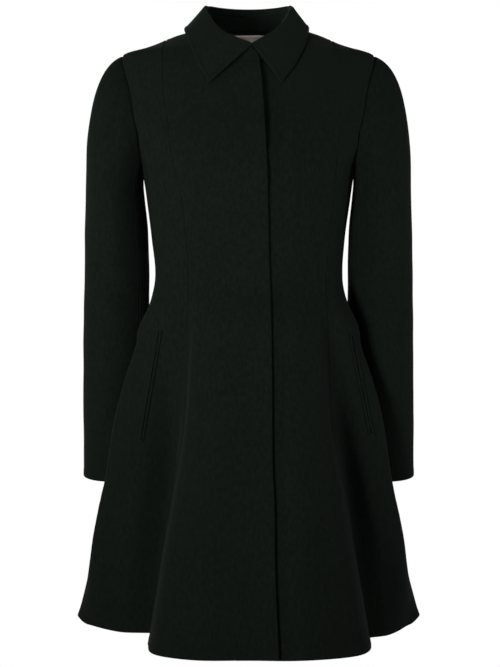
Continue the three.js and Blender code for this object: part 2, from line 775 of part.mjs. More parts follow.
// The places of the fall's edge lie on the body, lifted clear of its cloth.
function edgePlace(row, isBack, sign) {
  const kind = isBack ? panelKinds.back : panelKinds.front;
  const side = sign < 0 ? 'right' : 'left';
  const reach = { ...kind, folds: isBack ? [sideFold, centreBackFold] : [0, sideFold] };
  const x = row.edgeX - (sign > 0 ? row.leftIn ?? 0 : 0);
  const level = Math.min(row.edgeZ, topLevel(x, !isBack));
  const fold = sign * foldAt(side, level, x, reach);
  return bodyPoint(fold, level).addScaledVector(outward(fold, level), fallLift);
}

function fallSection(row, isBack, awayFromNeck, sign) {
  const fold = foldPlace(row, sign);
  const down = footPlace(row, isBack, sign).sub(fold).normalize();
  const points = evenShares(rollSteps).map((share) => {
    const turn = Math.PI * share;
    const out = rollRadius * (1 - Math.cos(turn));
    const point = fold.clone().addScaledVector(awayFromNeck, out);
    point.z += rollRadius * Math.sin(turn);
    return point;
  });
  points.unshift(points[0].clone().addScaledVector(down, seamBelowFold));
  const start = points[points.length - 1];
  const edge = edgePlace(row, isBack, sign);
  for (let i = 1; i <= fallRows; i += 1) {
    const t = i / fallRows;
    const point = start.clone().lerp(edge, t);
    points.push(point.addScaledVector(awayFromNeck, row.bulge * Math.sin(Math.PI * t)));
  }
  return points;
}

function fallGrid() {
  const half = collarRows.map((row, i) => ({ row, isBack: i <= neckPointRow }));
  const right = [...half].reverse().map((station) => ({ ...station, sign: -1 }));
  const left = half.slice(1).map((station) => ({ ...station, sign: 1 }));
  const stations = [...right, ...left];
  const places = stations.map(({ row, sign }) => foldPlace(row, sign).setZ(0));
  const columns = stations.map(({ row, isBack, sign }, i) => {
    const before = places[Math.max(i - 1, 0)];
    const after = places[Math.min(i + 1, places.length - 1)];
    const run = after.clone().sub(before).normalize();
    const awayFromNeck = new THREE.Vector3(-run.y, run.x, 0);
    return fallSection(row, isBack, awayFromNeck, sign);
  });
  return withDirections(columns[0].map((_, i) => columns.map((section) => section[i])));
}

add('collar_stand', wallSolid(standGrid(), wall));
add('collar_fall', wallSolid(fallGrid(), wall));

// The slanted pockets: two lips each, beside a slit that runs down the side front.
const pockets = {
  right: { top: { x: 126, z: -432 }, bottom: { x: 153, z: -588 } },
  left: { top: { x: 146, z: -437 }, bottom: { x: 175, z: -580 } },
};
const lipWidth = 3.6;
const slit = 0.8;
const lipThickness = 1.2;
const lipClear = 1;
const lipRows = 12;
const lips = [
  { name: 'front_lip', from: -slit / 2 - lipWidth, to: -slit / 2 },
  { name: 'back_lip', from: slit / 2, to: slit / 2 + lipWidth },
];

for (const side of ['right', 'left']) {
  const sign = side === 'right' ? -1 : 1;
  const { top, bottom } = pockets[side];
  for (const { name, from, to } of lips) {
    const grid = [];
    for (let i = 0; i <= lipRows; i += 1) {
      const t = i / lipRows;
      const level = mix(top.z, bottom.z, t);
      const middle = mix(top.x, bottom.x, t);
      const row = [from, (from + to) / 2, to].map((offset) => {
        const fold = sign * foldAt(side, level, middle + offset, panelKinds.sideFront);
        const out = outward(fold, level);
        const lift = lipClear + lipThickness;
        return { point: bodyPoint(fold, level).addScaledVector(out, lift), out };
      });
      grid.push(side === 'right' ? row.reverse() : row);
    }
    add(`pocket_${side}_${name}`, wallSolid(grid, lipThickness));
  }
}

// The bare label lies inside the back, just under the neck seam.
const label = { half: 26, top: 8, bottom: -28, thickness: 0.6, columns: 6, rows: 3, clear: 1.4 };
const labelGrid = [];
for (let i = 0; i <= label.rows; i += 1) {
  const level = mix(label.top, label.bottom, i / label.rows);
  const row = [];
  for (let j = 0; j <= label.columns; j += 1) {
    const x = mix(label.half, -label.half, j / label.columns);
    const side = x < 0 ? 'right' : 'left';
    const fold = Math.sign(x || 1) * foldAt(side, level, Math.abs(x), panelKinds.back);
    const out = outward(fold, level);
    row.push({ point: bodyPoint(fold, level).addScaledVector(out, -wall - label.clear), out });
  }
  labelGrid.push(row);
}
add('neck_label', wallSolid(labelGrid, label.thickness), labelColour);

export default coat;
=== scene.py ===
"""A flared black wool coat, filled out as when worn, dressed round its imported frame.

Shapes are worked out in millimetres and meshes are made in metres. The front faces -Y. Sides are
the wearer's: the right side of the coat is at -X.
"""
import json
import math

import bpy
import numpy as np
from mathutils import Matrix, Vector

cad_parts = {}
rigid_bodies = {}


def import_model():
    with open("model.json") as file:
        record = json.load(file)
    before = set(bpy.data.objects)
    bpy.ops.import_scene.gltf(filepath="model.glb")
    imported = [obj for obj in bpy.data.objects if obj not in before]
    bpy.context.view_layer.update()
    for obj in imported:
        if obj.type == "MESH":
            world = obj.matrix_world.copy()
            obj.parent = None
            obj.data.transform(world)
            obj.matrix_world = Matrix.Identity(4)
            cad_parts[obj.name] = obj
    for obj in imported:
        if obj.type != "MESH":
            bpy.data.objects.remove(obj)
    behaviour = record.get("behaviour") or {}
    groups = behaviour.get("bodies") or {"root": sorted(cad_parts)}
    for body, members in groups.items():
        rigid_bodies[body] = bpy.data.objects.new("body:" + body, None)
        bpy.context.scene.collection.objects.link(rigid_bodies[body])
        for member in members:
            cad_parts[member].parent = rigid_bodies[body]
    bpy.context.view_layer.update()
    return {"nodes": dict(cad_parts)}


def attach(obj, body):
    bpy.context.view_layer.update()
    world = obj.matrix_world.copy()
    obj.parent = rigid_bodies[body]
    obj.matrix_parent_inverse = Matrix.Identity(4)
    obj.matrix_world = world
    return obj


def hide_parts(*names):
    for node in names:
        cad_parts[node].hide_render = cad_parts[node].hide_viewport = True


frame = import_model()

MM = 0.001
QUARTER = math.pi / 2

# The coat's cloth and the heights of its landmarks
WALL = 2.4
ROUNDNESS = 2.2
NECK_POINT_Z = 5.7
SHOULDER_TIP_Z = -33
UPPER_Z = -110
UNDERARM_Z = -205
SKIRT_START_Z = -370
SKIRT_FULL_Z = -450
HEM_Z = -868

# Fold lines by number, from the centre front to the centre back, below zero on the right side
FRONT_RIDGE = 3
SIDE = 8
BACK_RIDGE = 12
CENTRE_BACK = 14


def table(names, *rows):
    """A table with named columns, its rows sorted by the first one."""
    columns = np.array(sorted(rows), dtype=float).T
    return dict(zip(names.split(), columns))


BODY = table(
    "z half front back",
    (10, 57, 24, 53),
    (5.7, 70, 30, 57),
    (0, 88, 38, 62),
    (-7, 107.5, 48, 68),
    (-13, 120.5, 55, 72),
    (-19, 134.5, 60, 76),
    (-25, 152, 65, 79),
    (-33, 181, 70, 83),
    (-46, 187, 79, 87),
    (-60, 188, 87, 91),
    (-110, 185, 108, 101),
    (-160, 171, 126, 103),
    (-205, 153, 134, 99),
    (-250, 146, 127, 92),
    (-300, 139, 113, 86),
    (-350, 134.5, 103, 83),
    (-400, 144, 110, 97),
    (-450, 160, 120, 116),
)

# The seams as seen from the front, the edge of the right front, which laps over the left, and
# how far the left front dips there
SEAMS = table(
    "z right left back edge lap",
    (-10, 118, 119, 112, 15, 3),
    (-40, 121, 125, 112, 15.5, 3),
    (-88, 119, 128.7, 108, 19.2, 6.5),
    (-143, 112, 128, 98, 22.5, 6.5),
    (-205, 102.6, 123.7, 86, 25.7, 5),
    (-265, 90, 117.6, 75, 27.4, 4),
    (-326, 85, 112, 67, 28.7, 3.6),
    (-370, 83.2, 110, 65, 30.3, 3.6),
    (-430, 85.2, 111.5, 68, 31.9, 3.8),
    (-500, 87.5, 114, 76, 32.6, 4),
    (-560, 91, 118, 86, 32.6, 4),
    (-610, 97.5, 126.5, 96, 33, 4),
    (-670, 108, 138, 106, 35.4, 4),
    (-750, 121, 150.5, 119, 36.2, 4),
    (-868, 139.5, 170, 138, 41, 4),
)

# The skirt's folds in plan, a row for each height. A name ends in x or y.
FOLDS = table(
    "z front_middle_y front_corner_y front_ridge_y valley_beyond valley_y face_share face_y"
    " tip_x tip_y lobe_under_x lobe_under_y tuck_x tuck_y",
    (-450, -121, -100, -76, 24, -66, 0.52, -50, 161, -18, 151, 5, 141, 38),
    (-550, -144, -121, -81, 14, -52, 0.5, -46, 191, -22, 168, 9, 142, 52),
    (-645, -168, -138, -88, 6, -38, 0.47, -42, 207, -17, 180, 19, 143, 74),
    (-755, -193, -158, -97, 1, -26, 0.44, -26, 228, 4, 221, 46, 190, 86),
    (-868, -221, -184, -107, -5.5, -17, 0.45, -8, 237, 36, 255, 70, 249, 100),
)
BACK_FOLDS = table(
    "z back_under_x back_under_y back_tip_x back_tip_y back_valley_x back_valley_y"
    " back_ridge_y back_middle_y left_valley left_face",
    (-450, 136, 68, 124, 88, 103, 101, 110, 119, 0, 0),
    (-550, 146, 102, 158, 124, 124, 122, 134, 146, 4, 3),
    (-645, 164, 130, 188, 150, 136, 138, 156, 171, 12, 8),
    (-755, 206, 128, 206, 160, 146, 142, 176, 195, 26, 16),
    (-868, 248, 130, 222, 162, 152, 136, 196, 221, 44, 27),
)
HEM_LIFT = [0, 0, 0, 0, 0, 0, 4, 12, 14, 10, 5, 1, 0, 0, 0]
FRONT_SHARES = [0, 0.4, 0.78, 1]

NECK_HALF = 70
NECK_BACK_RISE = 4.3
NECK_FRONT = table(
    "z level",
    (0, -54),
    (-18, -52),
    (-36, -44),
    (-52, -30),
    (-63, -13),
    (-69, 1),
    (-70, NECK_POINT_Z),
)


# Smooth curves
def ease(t):
    return t * t * (3 - 2 * t)


def mix(a, b, t):
    return a + (b - a) * t


def bell(distance, width):
    return np.exp(-((distance / width) ** 2))


def between(value, start, full):
    """Rises smoothly from 0 at start to 1 at full."""
    return ease(np.clip((value - start) / (full - start), 0, 1))


def along(rows, column, z):
    """A smooth curve through a table's column, without overshoot."""
    heights = rows["z"]
    values = rows[column]
    slopes = np.diff(values) / np.diff(heights)
    before = slopes[:-1]
    after = slopes[1:]
    is_smooth = before * after > 0
    total = np.where(is_smooth, before + after, 1)
    inner = np.where(is_smooth, 2 * before * after / total, 0)
    tangents = np.concatenate([slopes[:1], inner, slopes[-1:]])
    z = np.clip(z, heights[0], heights[-1])
    i = np.clip(np.searchsorted(heights, z, side="right") - 1, 0, len(heights) - 2)
    step = heights[i + 1] - heights[i]
    t = (z - heights[i]) / step
    rise = (values[i + 1] - values[i]) * ease(t)
    near = tangents[i] * step * t * (1 - t) ** 2
    far = tangents[i + 1] * step * t * t * (1 - t)
    return values[i] + rise + near - far


HALVINGS = 34


def solve(wanted, low, high, rising):
    """Where a rising function reaches each wanted value."""
    low = np.full(np.shape(wanted), low, dtype=float)
    high = np.full(np.shape(wanted), high, dtype=float)
    for _ in range(HALVINGS):
        middle = (low + high) / 2
        is_short = rising(middle) < wanted
        low = np.where(is_short, middle, low)
        high = np.where(is_short, high, middle)
    return (low + high) / 2


# The coat's body
def section_point(angle, level):
    half = along(BODY, "half", level)
    depth = np.where(angle < QUARTER, -along(BODY, "front", level), along(BODY, "back", level))
    power = 2 / ROUNDNESS
    x = half * np.clip(np.sin(angle), 0, 1) ** power
    y = depth * np.abs(np.cos(angle)) ** power
    return x, y


def angle_at(x, half):
    return np.arcsin(np.clip(x / half, 0, 1) ** (ROUNDNESS / 2))


def fold_angle(number, is_right, level):
    """The angle of a fold number on the body's rounded section."""
    half = along(BODY, "half", level)
    ridge = np.where(is_right, along(SEAMS, "right", level), along(SEAMS, "left", level))
    front = angle_at(ridge, half)
    back = math.pi - angle_at(along(SEAMS, "back", level), half)
    in_front = front * np.interp(number, range(len(FRONT_SHARES)), FRONT_SHARES)
    to_side = mix(front, QUARTER, (number - FRONT_RIDGE) / (SIDE - FRONT_RIDGE))
    to_back = mix(QUARTER, back, (number - SIDE) / (BACK_RIDGE - SIDE))
    behind = mix(back, math.pi, (number - BACK_RIDGE) / (CENTRE_BACK - BACK_RIDGE))
    is_reached = [number <= FRONT_RIDGE, number <= SIDE, number <= BACK_RIDGE]
    return np.select(is_reached, [in_front, to_side, to_back], behind)


def fold_plan(is_right, level):
    """The places of the fold lines in plan: an array of fold, point, and x and y."""
    ridge = np.where(is_right, along(SEAMS, "right", level), along(SEAMS, "left", level))
    back_ridge = along(SEAMS, "back", level)

    def front(name):
        return along(FOLDS, name, level)

    def back(name):
        return along(BACK_FOLDS, name, level)

    is_left = np.where(is_right, 0, 1)
    valley = ridge + front("valley_beyond")
    tip = front("tip_x")
    face = mix(valley, tip, front("face_share"))
    zero = np.zeros_like(ridge)
    places = [
        (zero, front("front_middle_y") - 1),
        (ridge * 0.5, front("front_middle_y")),
        (ridge * 0.89, front("front_corner_y")),
        (ridge, front("front_ridge_y")),
        (valley, front("valley_y") - is_left * back("left_valley")),
        (face, front("face_y") - is_left * back("left_face")),
        (tip, front("tip_y")),
        (front("lobe_under_x"), front("lobe_under_y")),
        (front("tuck_x"), front("tuck_y")),
        (back("back_under_x"), back("back_under_y")),
        (back("back_tip_x"), back("back_tip_y")),
        (back("back_valley_x"), back("back_valley_y")),
        (back_ridge, back("back_ridge_y")),
        (back_ridge * 0.52, back("back_middle_y")),
        (zero, back("back_middle_y") + 1),
    ]
    return np.array([np.stack(place, axis=-1) for place in places])


def skirt_point(number, is_right, level):
    """A smooth line through the fold lines at one height, at a fold number."""
    plan = fold_plan(is_right, level)
    mirror = np.array([-1, 1])
    places = np.concatenate([plan[1:2] * mirror, plan, plan[-2:-1] * mirror])
    i = np.clip(np.floor(number), 0, CENTRE_BACK - 1).astype(int)
    t = (number - i)[:, None]
    point = np.arange(len(number))
    before, start, end, after = (places[i + k, point] for k in range(4))

    def size(way):
        return np.linalg.norm(way, axis=-1, keepdims=True)

    into = size(start - before)
    here = size(end - start)
    beyond = size(after - end)
    direct = (end - start) / here
    start_way = ((start - before) / into * here + direct * into) / (into + here) * here
    end_way = (direct * beyond + (after - end) / beyond * here) / (here + beyond) * here
    bend = start_way * t * (1 - t) ** 2 - end_way * t * t * (1 - t)
    return start + (end - start) * ease(t) + bend


def body_point(fold, level):
    """Points of the body's outer face, from fold numbers and levels before the hem's lift."""
    fold, level = np.broadcast_arrays(np.asarray(fold, float), np.asarray(level, float))
    shape = fold.shape
    fold = fold.ravel()
    level = level.ravel()
    fold = np.where(fold > CENTRE_BACK, fold - 2 * CENTRE_BACK, fold)
    fold = np.where(fold < -CENTRE_BACK, fold + 2 * CENTRE_BACK, fold)
    is_right = fold < 0
    number = np.abs(fold)
    blend = between(-level, -SKIRT_START_Z, -SKIRT_FULL_Z)
    upper = section_point(fold_angle(number, is_right, level), level)
    place = np.stack(upper, axis=-1)
    in_skirt = blend > 0
    if in_skirt.any():
        some = skirt_point(number[in_skirt], is_right[in_skirt], np.maximum(level[in_skirt], HEM_Z))
        place[in_skirt] = mix(place[in_skirt], some, blend[in_skirt, None])
    drop = np.clip((SKIRT_START_Z - level) / (SKIRT_START_Z - HEM_Z), 0, 1)
    i = np.clip(np.floor(number), 0, CENTRE_BACK - 1).astype(int)
    lifts = np.array(HEM_LIFT, float)
    lift = mix(lifts[i], lifts[i + 1], ease(number - i))
    x = np.where(is_right, -place[:, 0], place[:, 0])
    return np.stack([x, place[:, 1], level + lift * drop], axis=-1).reshape(*shape, 3)


def unit(ways):
    return ways / np.maximum(np.linalg.norm(ways, axis=-1, keepdims=True), 1e-9)


def outward(fold, level):
    """The directions out of the body: of its rounded sections, or of the skirt's folds."""
    step = 0.5
    fold_step = 0.02
    point = body_point(fold, level)
    half = along(BODY, "half", level)
    is_front = point[..., 1] < 0
    depth = np.where(is_front, along(BODY, "front", level), along(BODY, "back", level))

    def growth(name):
        return (along(BODY, name, level + step) - along(BODY, name, level - step)) / (2 * step)

    x = np.abs(point[..., 0]) / half
    y = np.abs(point[..., 1]) / depth
    across = x ** (ROUNDNESS - 1) / half * np.sign(point[..., 0])
    deep = y ** (ROUNDNESS - 1) / depth * np.sign(point[..., 1])
    depth_growth = np.where(is_front, growth("front"), growth("back"))
    rise = x**ROUNDNESS * growth("half") / half + y**ROUNDNESS * depth_growth / depth
    upper = unit(np.stack([across, deep, -rise], axis=-1))
    sideways = body_point(fold + fold_step, level) - body_point(fold - fold_step, level)
    upwards = body_point(fold, level + step) - body_point(fold, np.maximum(level - step, HEM_Z))
    lower = unit(np.cross(sideways, upwards))
    return np.where((level > SKIRT_START_Z)[..., None], upper, lower)


# The armhole and the panels' edges
ARMHOLE_FRONT = math.radians(28)
ARMHOLE_BACK = math.radians(25)
ARMHOLE_MIDDLE = (SHOULDER_TIP_Z + UNDERARM_Z) / 2
ARMHOLE_HALF = (SHOULDER_TIP_Z - UNDERARM_Z) / 2
UNDERLAP = 16


def armhole_x(level, is_front):
    level = np.minimum(level, SHOULDER_TIP_Z)
    t = np.clip((level - ARMHOLE_MIDDLE) / ARMHOLE_HALF, -1, 1)
    reach = ARMHOLE_FRONT if is_front else ARMHOLE_BACK
    return section_point(QUARTER - reach * np.sqrt(1 - t * t), level)[0]


SHOULDER_LEVELS = np.linspace(NECK_POINT_Z, SHOULDER_TIP_Z, 400)
SHOULDER_HALVES = along(BODY, "half", SHOULDER_LEVELS)


def top_level(reach, is_front):
    """The top edge of the body: the neckline, and the shoulder seam beyond the neck point."""
    shoulder = np.interp(reach, SHOULDER_HALVES, SHOULDER_LEVELS)
    if is_front:
        neck = along(NECK_FRONT, "level", -reach)
    else:
        neck = NECK_POINT_Z + NECK_BACK_RISE * (1 - (reach / NECK_HALF) ** 2)
    return np.where(reach >= NECK_HALF, shoulder, neck)


def fold_at(side, level, x, folds, is_front):
    """The fold numbers at distances from the centre line."""
    sign = -1 if side == "right" else 1
    towards = 1 if is_front else -1

    def reach(fold):
        return towards * sign * body_point(sign * fold, level)[..., 0]

    return solve(towards * np.asarray(x, float), *folds, reach)


# A panel's upper part, which takes a fifth of its run, and the numbers of its edges' stations
UPPER_RUN = 0.2
UPPER_CROWDING = 2.2
EDGE_STATIONS = 500
TOP_STATIONS = 121


class Panel:
    """A panel of the body between two seams, on one side. A share runs from its inner seam to
    its outer one, and a run from its top edge to the hem."""

    folds = {
        "front": (-FRONT_RIDGE, FRONT_RIDGE),
        "side_front": (FRONT_RIDGE, SIDE),
        "side_back": (SIDE, BACK_RIDGE),
        "back": (BACK_RIDGE, CENTRE_BACK),
    }

    def __init__(self, kind, side):
        self.kind = kind
        self.side = side
        self.sign = -1 if side == "right" else 1
        self.is_front = kind in ("front", "side_front")
        self.heights = np.linspace(HEM_Z, UPPER_Z, EDGE_STATIONS)
        self.inner_folds = self.edge_folds(self.inner(self.heights), kind == "front")
        self.outer_folds = self.edge_folds(self.outer(self.heights), kind.startswith("side"))
        self.shares = np.linspace(0, 1, TOP_STATIONS)

        def over_top(level):
            return level - top_level(self.distance(self.shares, level), self.is_front)

        highest = NECK_POINT_Z + NECK_BACK_RISE
        self.tops = solve(np.zeros_like(self.shares), UPPER_Z, highest, over_top)

    def inner(self, level):
        if self.kind == "side_front":
            return along(SEAMS, self.side, level)
        if self.kind == "side_back":
            return along(SEAMS, "back", level)
        if self.kind == "back":
            return np.zeros_like(level)
        if self.side == "right":
            return -along(SEAMS, "edge", level)
        return np.full_like(level, -UNDERLAP)

    def outer(self, level):
        if self.kind == "front":
            return along(SEAMS, self.side, level)
        if self.kind == "back":
            return along(SEAMS, "back", level)
        return armhole_x(level, self.is_front)

    def distance(self, share, level):
        return mix(self.inner(level), self.outer(level), share)

    def edge_folds(self, reach, is_solved):
        """The fold numbers of an edge at each height, which is a seam's own fold if not solved."""
        low, high = self.folds[self.kind]
        is_inner = np.allclose(reach, self.inner(self.heights))
        seam = low if is_inner == self.is_front else high
        if not is_solved:
            return np.full_like(self.heights, seam)
        found = fold_at(self.side, self.heights, reach, (low, high), self.is_front)
        if is_inner:
            return found
        return np.where(self.heights <= UNDERARM_Z, SIDE, found)

    def level(self, share, run):
        top = np.interp(share, self.shares, self.tops)
        upper = mix(top, UPPER_Z, np.clip(run / UPPER_RUN, 0, 1) ** UPPER_CROWDING)
        lower = mix(UPPER_Z, HEM_Z, (run - UPPER_RUN) / (1 - UPPER_RUN))
        return np.where(run < UPPER_RUN, upper, lower)

    def fold(self, share, level):
        turn = between(-level, -UPPER_Z, -UNDERARM_Z)
        inner = np.interp(level, self.heights, self.inner_folds)
        outer = np.interp(level, self.heights, self.outer_folds)
        fold = mix(inner, outer, share)
        by_distance = turn < 1
        if by_distance.any():
            upper = level[by_distance]
            reach = self.distance(share[by_distance], upper)
            found = fold_at(self.side, upper, reach, self.folds[self.kind], self.is_front)
            fold[by_distance] = mix(found, fold[by_distance], turn[by_distance])
        return self.sign * fold

    def place(self, share, run):
        level = self.level(share, run)
        return body_point(self.fold(share, level), level)


# Even grids over a surface, with extra lines near its edges for the sewn edges' form
EDGE_STOPS = np.array([0, 0.35, 0.8, 1.4, 2.1, 2.9, 3.8, 5, 6.5, 8.5])


def stops(total, count):
    """Distances of grid lines across a total, close together near both ends."""
    last = EDGE_STOPS[-1]
    middle = np.linspace(last, total - last, count + 2)[1:-1]
    return np.concatenate([EDGE_STOPS, middle, total - EDGE_STOPS[::-1]])


def lengths(points, axis):
    steps = np.linalg.norm(np.diff(points, axis=axis), axis=-1)
    start = np.zeros_like(np.take(steps, [0], axis=axis))
    return np.concatenate([start, np.cumsum(steps, axis=axis)], axis=axis)


class Grid:
    """An even grid over place(share, run), and each point's distances from the four edges."""

    def __init__(self, place, across, down, dense=(97, 321)):
        shares = np.linspace(0, 1, dense[0])
        runs = np.linspace(0, 1, dense[1])
        all_shares, all_runs = np.meshgrid(shares, runs)
        depth = lengths(place(all_shares, all_runs), 0)
        wanted = np.stack([stops(column[-1], down) for column in depth.T], axis=1)
        run_rows = np.stack(
            [np.interp(wanted[:, j], depth[:, j], runs) for j in range(len(shares))], axis=1
        )
        share_rows = np.broadcast_to(shares, run_rows.shape)
        width = lengths(place(share_rows, run_rows), 1)
        lines = np.stack([stops(row[-1], across) for row in width])
        rows = range(len(lines))
        self.share = np.stack([np.interp(lines[i], width[i], shares) for i in rows])
        self.run = np.stack([np.interp(self.share[i], shares, run_rows[i]) for i in rows])
        self.from_top = np.stack([np.interp(self.share[i], shares, wanted[i]) for i in rows])
        whole = np.stack([np.interp(self.share[i], shares, wanted[-1]) for i in rows])
        self.from_hem = whole - self.from_top
        self.from_start = lines
        self.from_end = lines[:, -1:] - lines
        self.point = place(self.share, self.run)
        self.size = (width[:, -1].max() * MM, depth[-1].max() * MM)


def facing(place, share, run, step=0.002):
    """Directions square to a surface, from its neighbouring points."""
    sideways = place(share + step, run) - place(share - step, run)
    upwards = place(share, run - step) - place(share, run + step)
    return unit(np.cross(sideways, upwards))


# Closed cloth shells
def make_object(name, points, faces, material):
    mesh = bpy.data.meshes.new(name)
    mesh.from_pydata((points * MM).tolist(), [], faces.tolist())
    mesh.materials.append(material)
    mesh.shade_smooth()
    piece = bpy.data.objects.new(name, mesh)
    bpy.context.scene.collection.objects.link(piece)
    return piece


def cloth_shell(point, out, thickness, rounding):
    """Points and faces of a closed sheet. The rounding draws both faces in at its edges."""
    rows, columns = rounding.shape
    outer = point - out * rounding[..., None]
    inner = point - out * (thickness - rounding)[..., None]
    points = np.concatenate([outer.reshape(-1, 3), inner.reshape(-1, 3)])
    number = np.arange(rows * columns).reshape(rows, columns)
    behind = number + rows * columns

    def quads(a, b, c, d):
        return np.stack([a, b, c, d], axis=-1).reshape(-1, 4)

    def band(front, back):
        return quads(front[:-1], front[1:], back[1:], back[:-1])

    face = quads(number[:-1, :-1], number[1:, :-1], number[1:, 1:], number[:-1, 1:])
    back = quads(behind[:-1, :-1], behind[:-1, 1:], behind[1:, 1:], behind[1:, :-1])
    edges = [
        band(number[:, 0][::-1], behind[:, 0][::-1]),
        band(number[:, -1], behind[:, -1]),
        band(number[0], behind[0]),
        band(number[-1][::-1], behind[-1][::-1]),
    ]
    faces = np.concatenate([face, back, *edges])
    first = point[1, 1] - point[0, 1]
    second = point[1, 2] - point[1, 1]
    if np.dot(np.cross(first, second), out[1, 1]) < 0:
        faces = faces[:, ::-1]
    return points, faces


# The forms of sewn edges: their heights and widths
ROUNDING_SHARE = 0.97
GROOVE_DEPTH = 0.6
GROOVE_WIDTH = 0.9
FELLED_HEIGHT = 0.42
FELLED_AWAY = 2.9
FELLED_WIDTH = 1.3
TURNED_HEIGHT = 0.45
TURNED_STEP = 0.7


def free_rounding(distance, thickness):
    """A turned edge: the sheet's two faces meet in a half circle."""
    radius = thickness / 2
    t = np.clip(1 - distance / radius, 0, 1)
    return radius * (1 - np.sqrt(1 - t * t)) * ROUNDING_SHARE


def seam_rounding(distance):
    """The groove where two panels meet."""
    return GROOVE_DEPTH * bell(distance, GROOVE_WIDTH)


def felled_seam(distance):
    """A low ridge beside a felled seam's groove, on each of the two panels."""
    return FELLED_HEIGHT * bell(distance - FELLED_AWAY, FELLED_WIDTH)


def turned_edge(distance, width):
    """The extra thickness of a turned edge, which ends in a soft step."""
    return TURNED_HEIGHT * (1 - between(distance, width - TURNED_STEP, width + TURNED_STEP))


# Soft unevenness of the cloth, the same on every run
WAVE_COUNT = 14
WAVE_HEIGHT = 0.11
WAVE_RANGE = (38, 120)
WAVES = np.random.default_rng(11)
WAVE_WAYS = unit(WAVES.normal(size=(WAVE_COUNT, 3)))
WAVE_LENGTHS = WAVES.uniform(*WAVE_RANGE, WAVE_COUNT)
WAVE_STARTS = WAVES.uniform(0, 2 * math.pi, WAVE_COUNT)


def unevenness(points):
    total = 0
    for way, length, start in zip(WAVE_WAYS, WAVE_LENGTHS, WAVE_STARTS):
        total = total + length * np.sin(points @ way * 2 * math.pi / length + start)
    return WAVE_HEIGHT * total / WAVE_LENGTHS.mean()


CREASE_STOPS = 9
CREASE_START = 0.08
CREASE_FADING = 0.8


def crease_field(points, creases, place):
    """Troughs and ridges. A crease is a height, a width and places along it."""
    total = np.zeros(points.shape[:-1])
    for height, width, *corners in creases:
        corners = np.array(corners, float)
        steps = np.linspace(0, len(corners) - 1, CREASE_STOPS)
        ways = [np.interp(steps, range(len(corners)), column) for column in corners.T]
        path = place(*ways)
        nearest = np.full(total.shape, np.inf)
        share = np.zeros(total.shape)
        for i in range(len(path) - 1):
            run = path[i + 1] - path[i]
            t = np.clip((points - path[i]) @ run / (run @ run), 0, 1)
            distance = np.linalg.norm(points - path[i] - t[..., None] * run, axis=-1)
            is_nearer = distance < nearest
            nearest = np.where(is_nearer, distance, nearest)
            share = np.where(is_nearer, (i + t) / (len(path) - 1), share)
        at = CREASE_START + (1 - 2 * CREASE_START) * share
        taper = np.sin(math.pi * np.clip(at, 0, 1)) ** CREASE_FADING
        total += height * taper * bell(nearest, width)
    return total


# The body's creases: height, width, then fold numbers and levels along each
BODY_CREASES = [
    (-2.2, 10, (-4.6, -92), (-3.6, -118), (-2.7, -140)),
    (1.3, 8, (-4.9, -78), (-4.2, -98), (-3.3, -118)),
    (-2.4, 12, (-5.6, -150), (-4.3, -178), (-2.9, -208)),
    (1.2, 10, (-5.9, -172), (-4.8, -196), (-3.6, -222)),
    (-2.0, 10, (5.4, -140), (4.2, -168), (2.9, -204)),
    (-1.3, 9, (4.6, -96), (3.7, -118), (2.9, -136)),
    (1.0, 9, (5.6, -164), (4.6, -190), (3.4, -214)),
    (-1.2, 9, (-6.6, -300), (-5.2, -316), (-3.4, -322)),
    (-1.0, 8, (6.8, -318), (5.4, -330), (3.6, -332)),
    (-1.1, 10, (-2.6, -330), (-1.6, -342), (-0.4, -346)),
    (-0.9, 9, (0.9, -326), (1.9, -340), (2.7, -352)),
    (-1.8, 11, (9.3, -110), (10.6, -138), (11.8, -176)),
    (-1.6, 10, (-9.2, -122), (-10.4, -146), (-12.2, -170)),
    (-1.3, 10, (8.9, -176), (10.2, -196), (12.2, -214)),
    (-1.4, 11, (-9.0, -182), (-10.6, -206), (-12.6, -226)),
    (-1.7, 9, (9.4, -316), (11.6, -330), (13.6, -334)),
    (-1.5, 8, (-9.8, -326), (-11.4, -338), (-13.8, -344)),
    (-1.2, 8, (8.6, -346), (10.8, -356), (12.6, -360)),
    (1.3, 12, (-13.2, -348), (13.6, -352), (12.4, -352)),
    (-1.6, 16, (-1.5, -560), (-1.7, -700), (-1.9, -864)),
    (-1.5, 18, (1.4, -600), (1.6, -730), (1.7, -866)),
    (1.5, 15, (-0.7, -640), (-0.8, -760), (-0.8, -866)),
    (-2.2, 16, (-5.6, -620), (-5.4, -740), (-5.3, -864)),
    (-2.0, 15, (5.5, -600), (5.3, -730), (5.2, -860)),
    (-2.4, 20, (13.3, -560), (13.2, -700), (13.1, -866)),
    (-2.2, 18, (-13.1, -600), (-13.2, -740), (-13.3, -866)),
]

# How far the right front's edge stands off, and how far the left front sinks beside it
EDGE_LIFT = table(
    "z lift sink",
    (-52, 1.4, 0.8),
    (-90, 3.4, 2.4),
    (-150, 3.2, 2.4),
    (-193, 0.8, 0.6),
    (-216, 2.6, 2.0),
    (-245, 1.4, 1.0),
    (-330, 1.2, 1.0),
    (-380, 0.8, 0.8),
    (-470, 1.4, 1.0),
    (-868, 1.9, 1.2),
)
LAP_BEYOND = 7
LAP_RISE = 30
EDGE_WIDTH = 15
SINK_WIDTH = 12
TACK_LEVELS = (-162, -380, -560)
TACK_IN = 15
DIMPLE_DEPTH = 0.9
DIMPLE_WIDTH = 6

# The pockets' ends, as distances from the centre line and levels
POCKETS = {
    "right": ((126, -432), (153, -588)),
    "left": ((146, -437), (175, -580)),
}
LIP_WIDTH = 3.6
SLIT = 0.9
POCKET_STOPS = 24
POCKET_PULL = 1.0
POCKET_PULL_WIDTH = 5


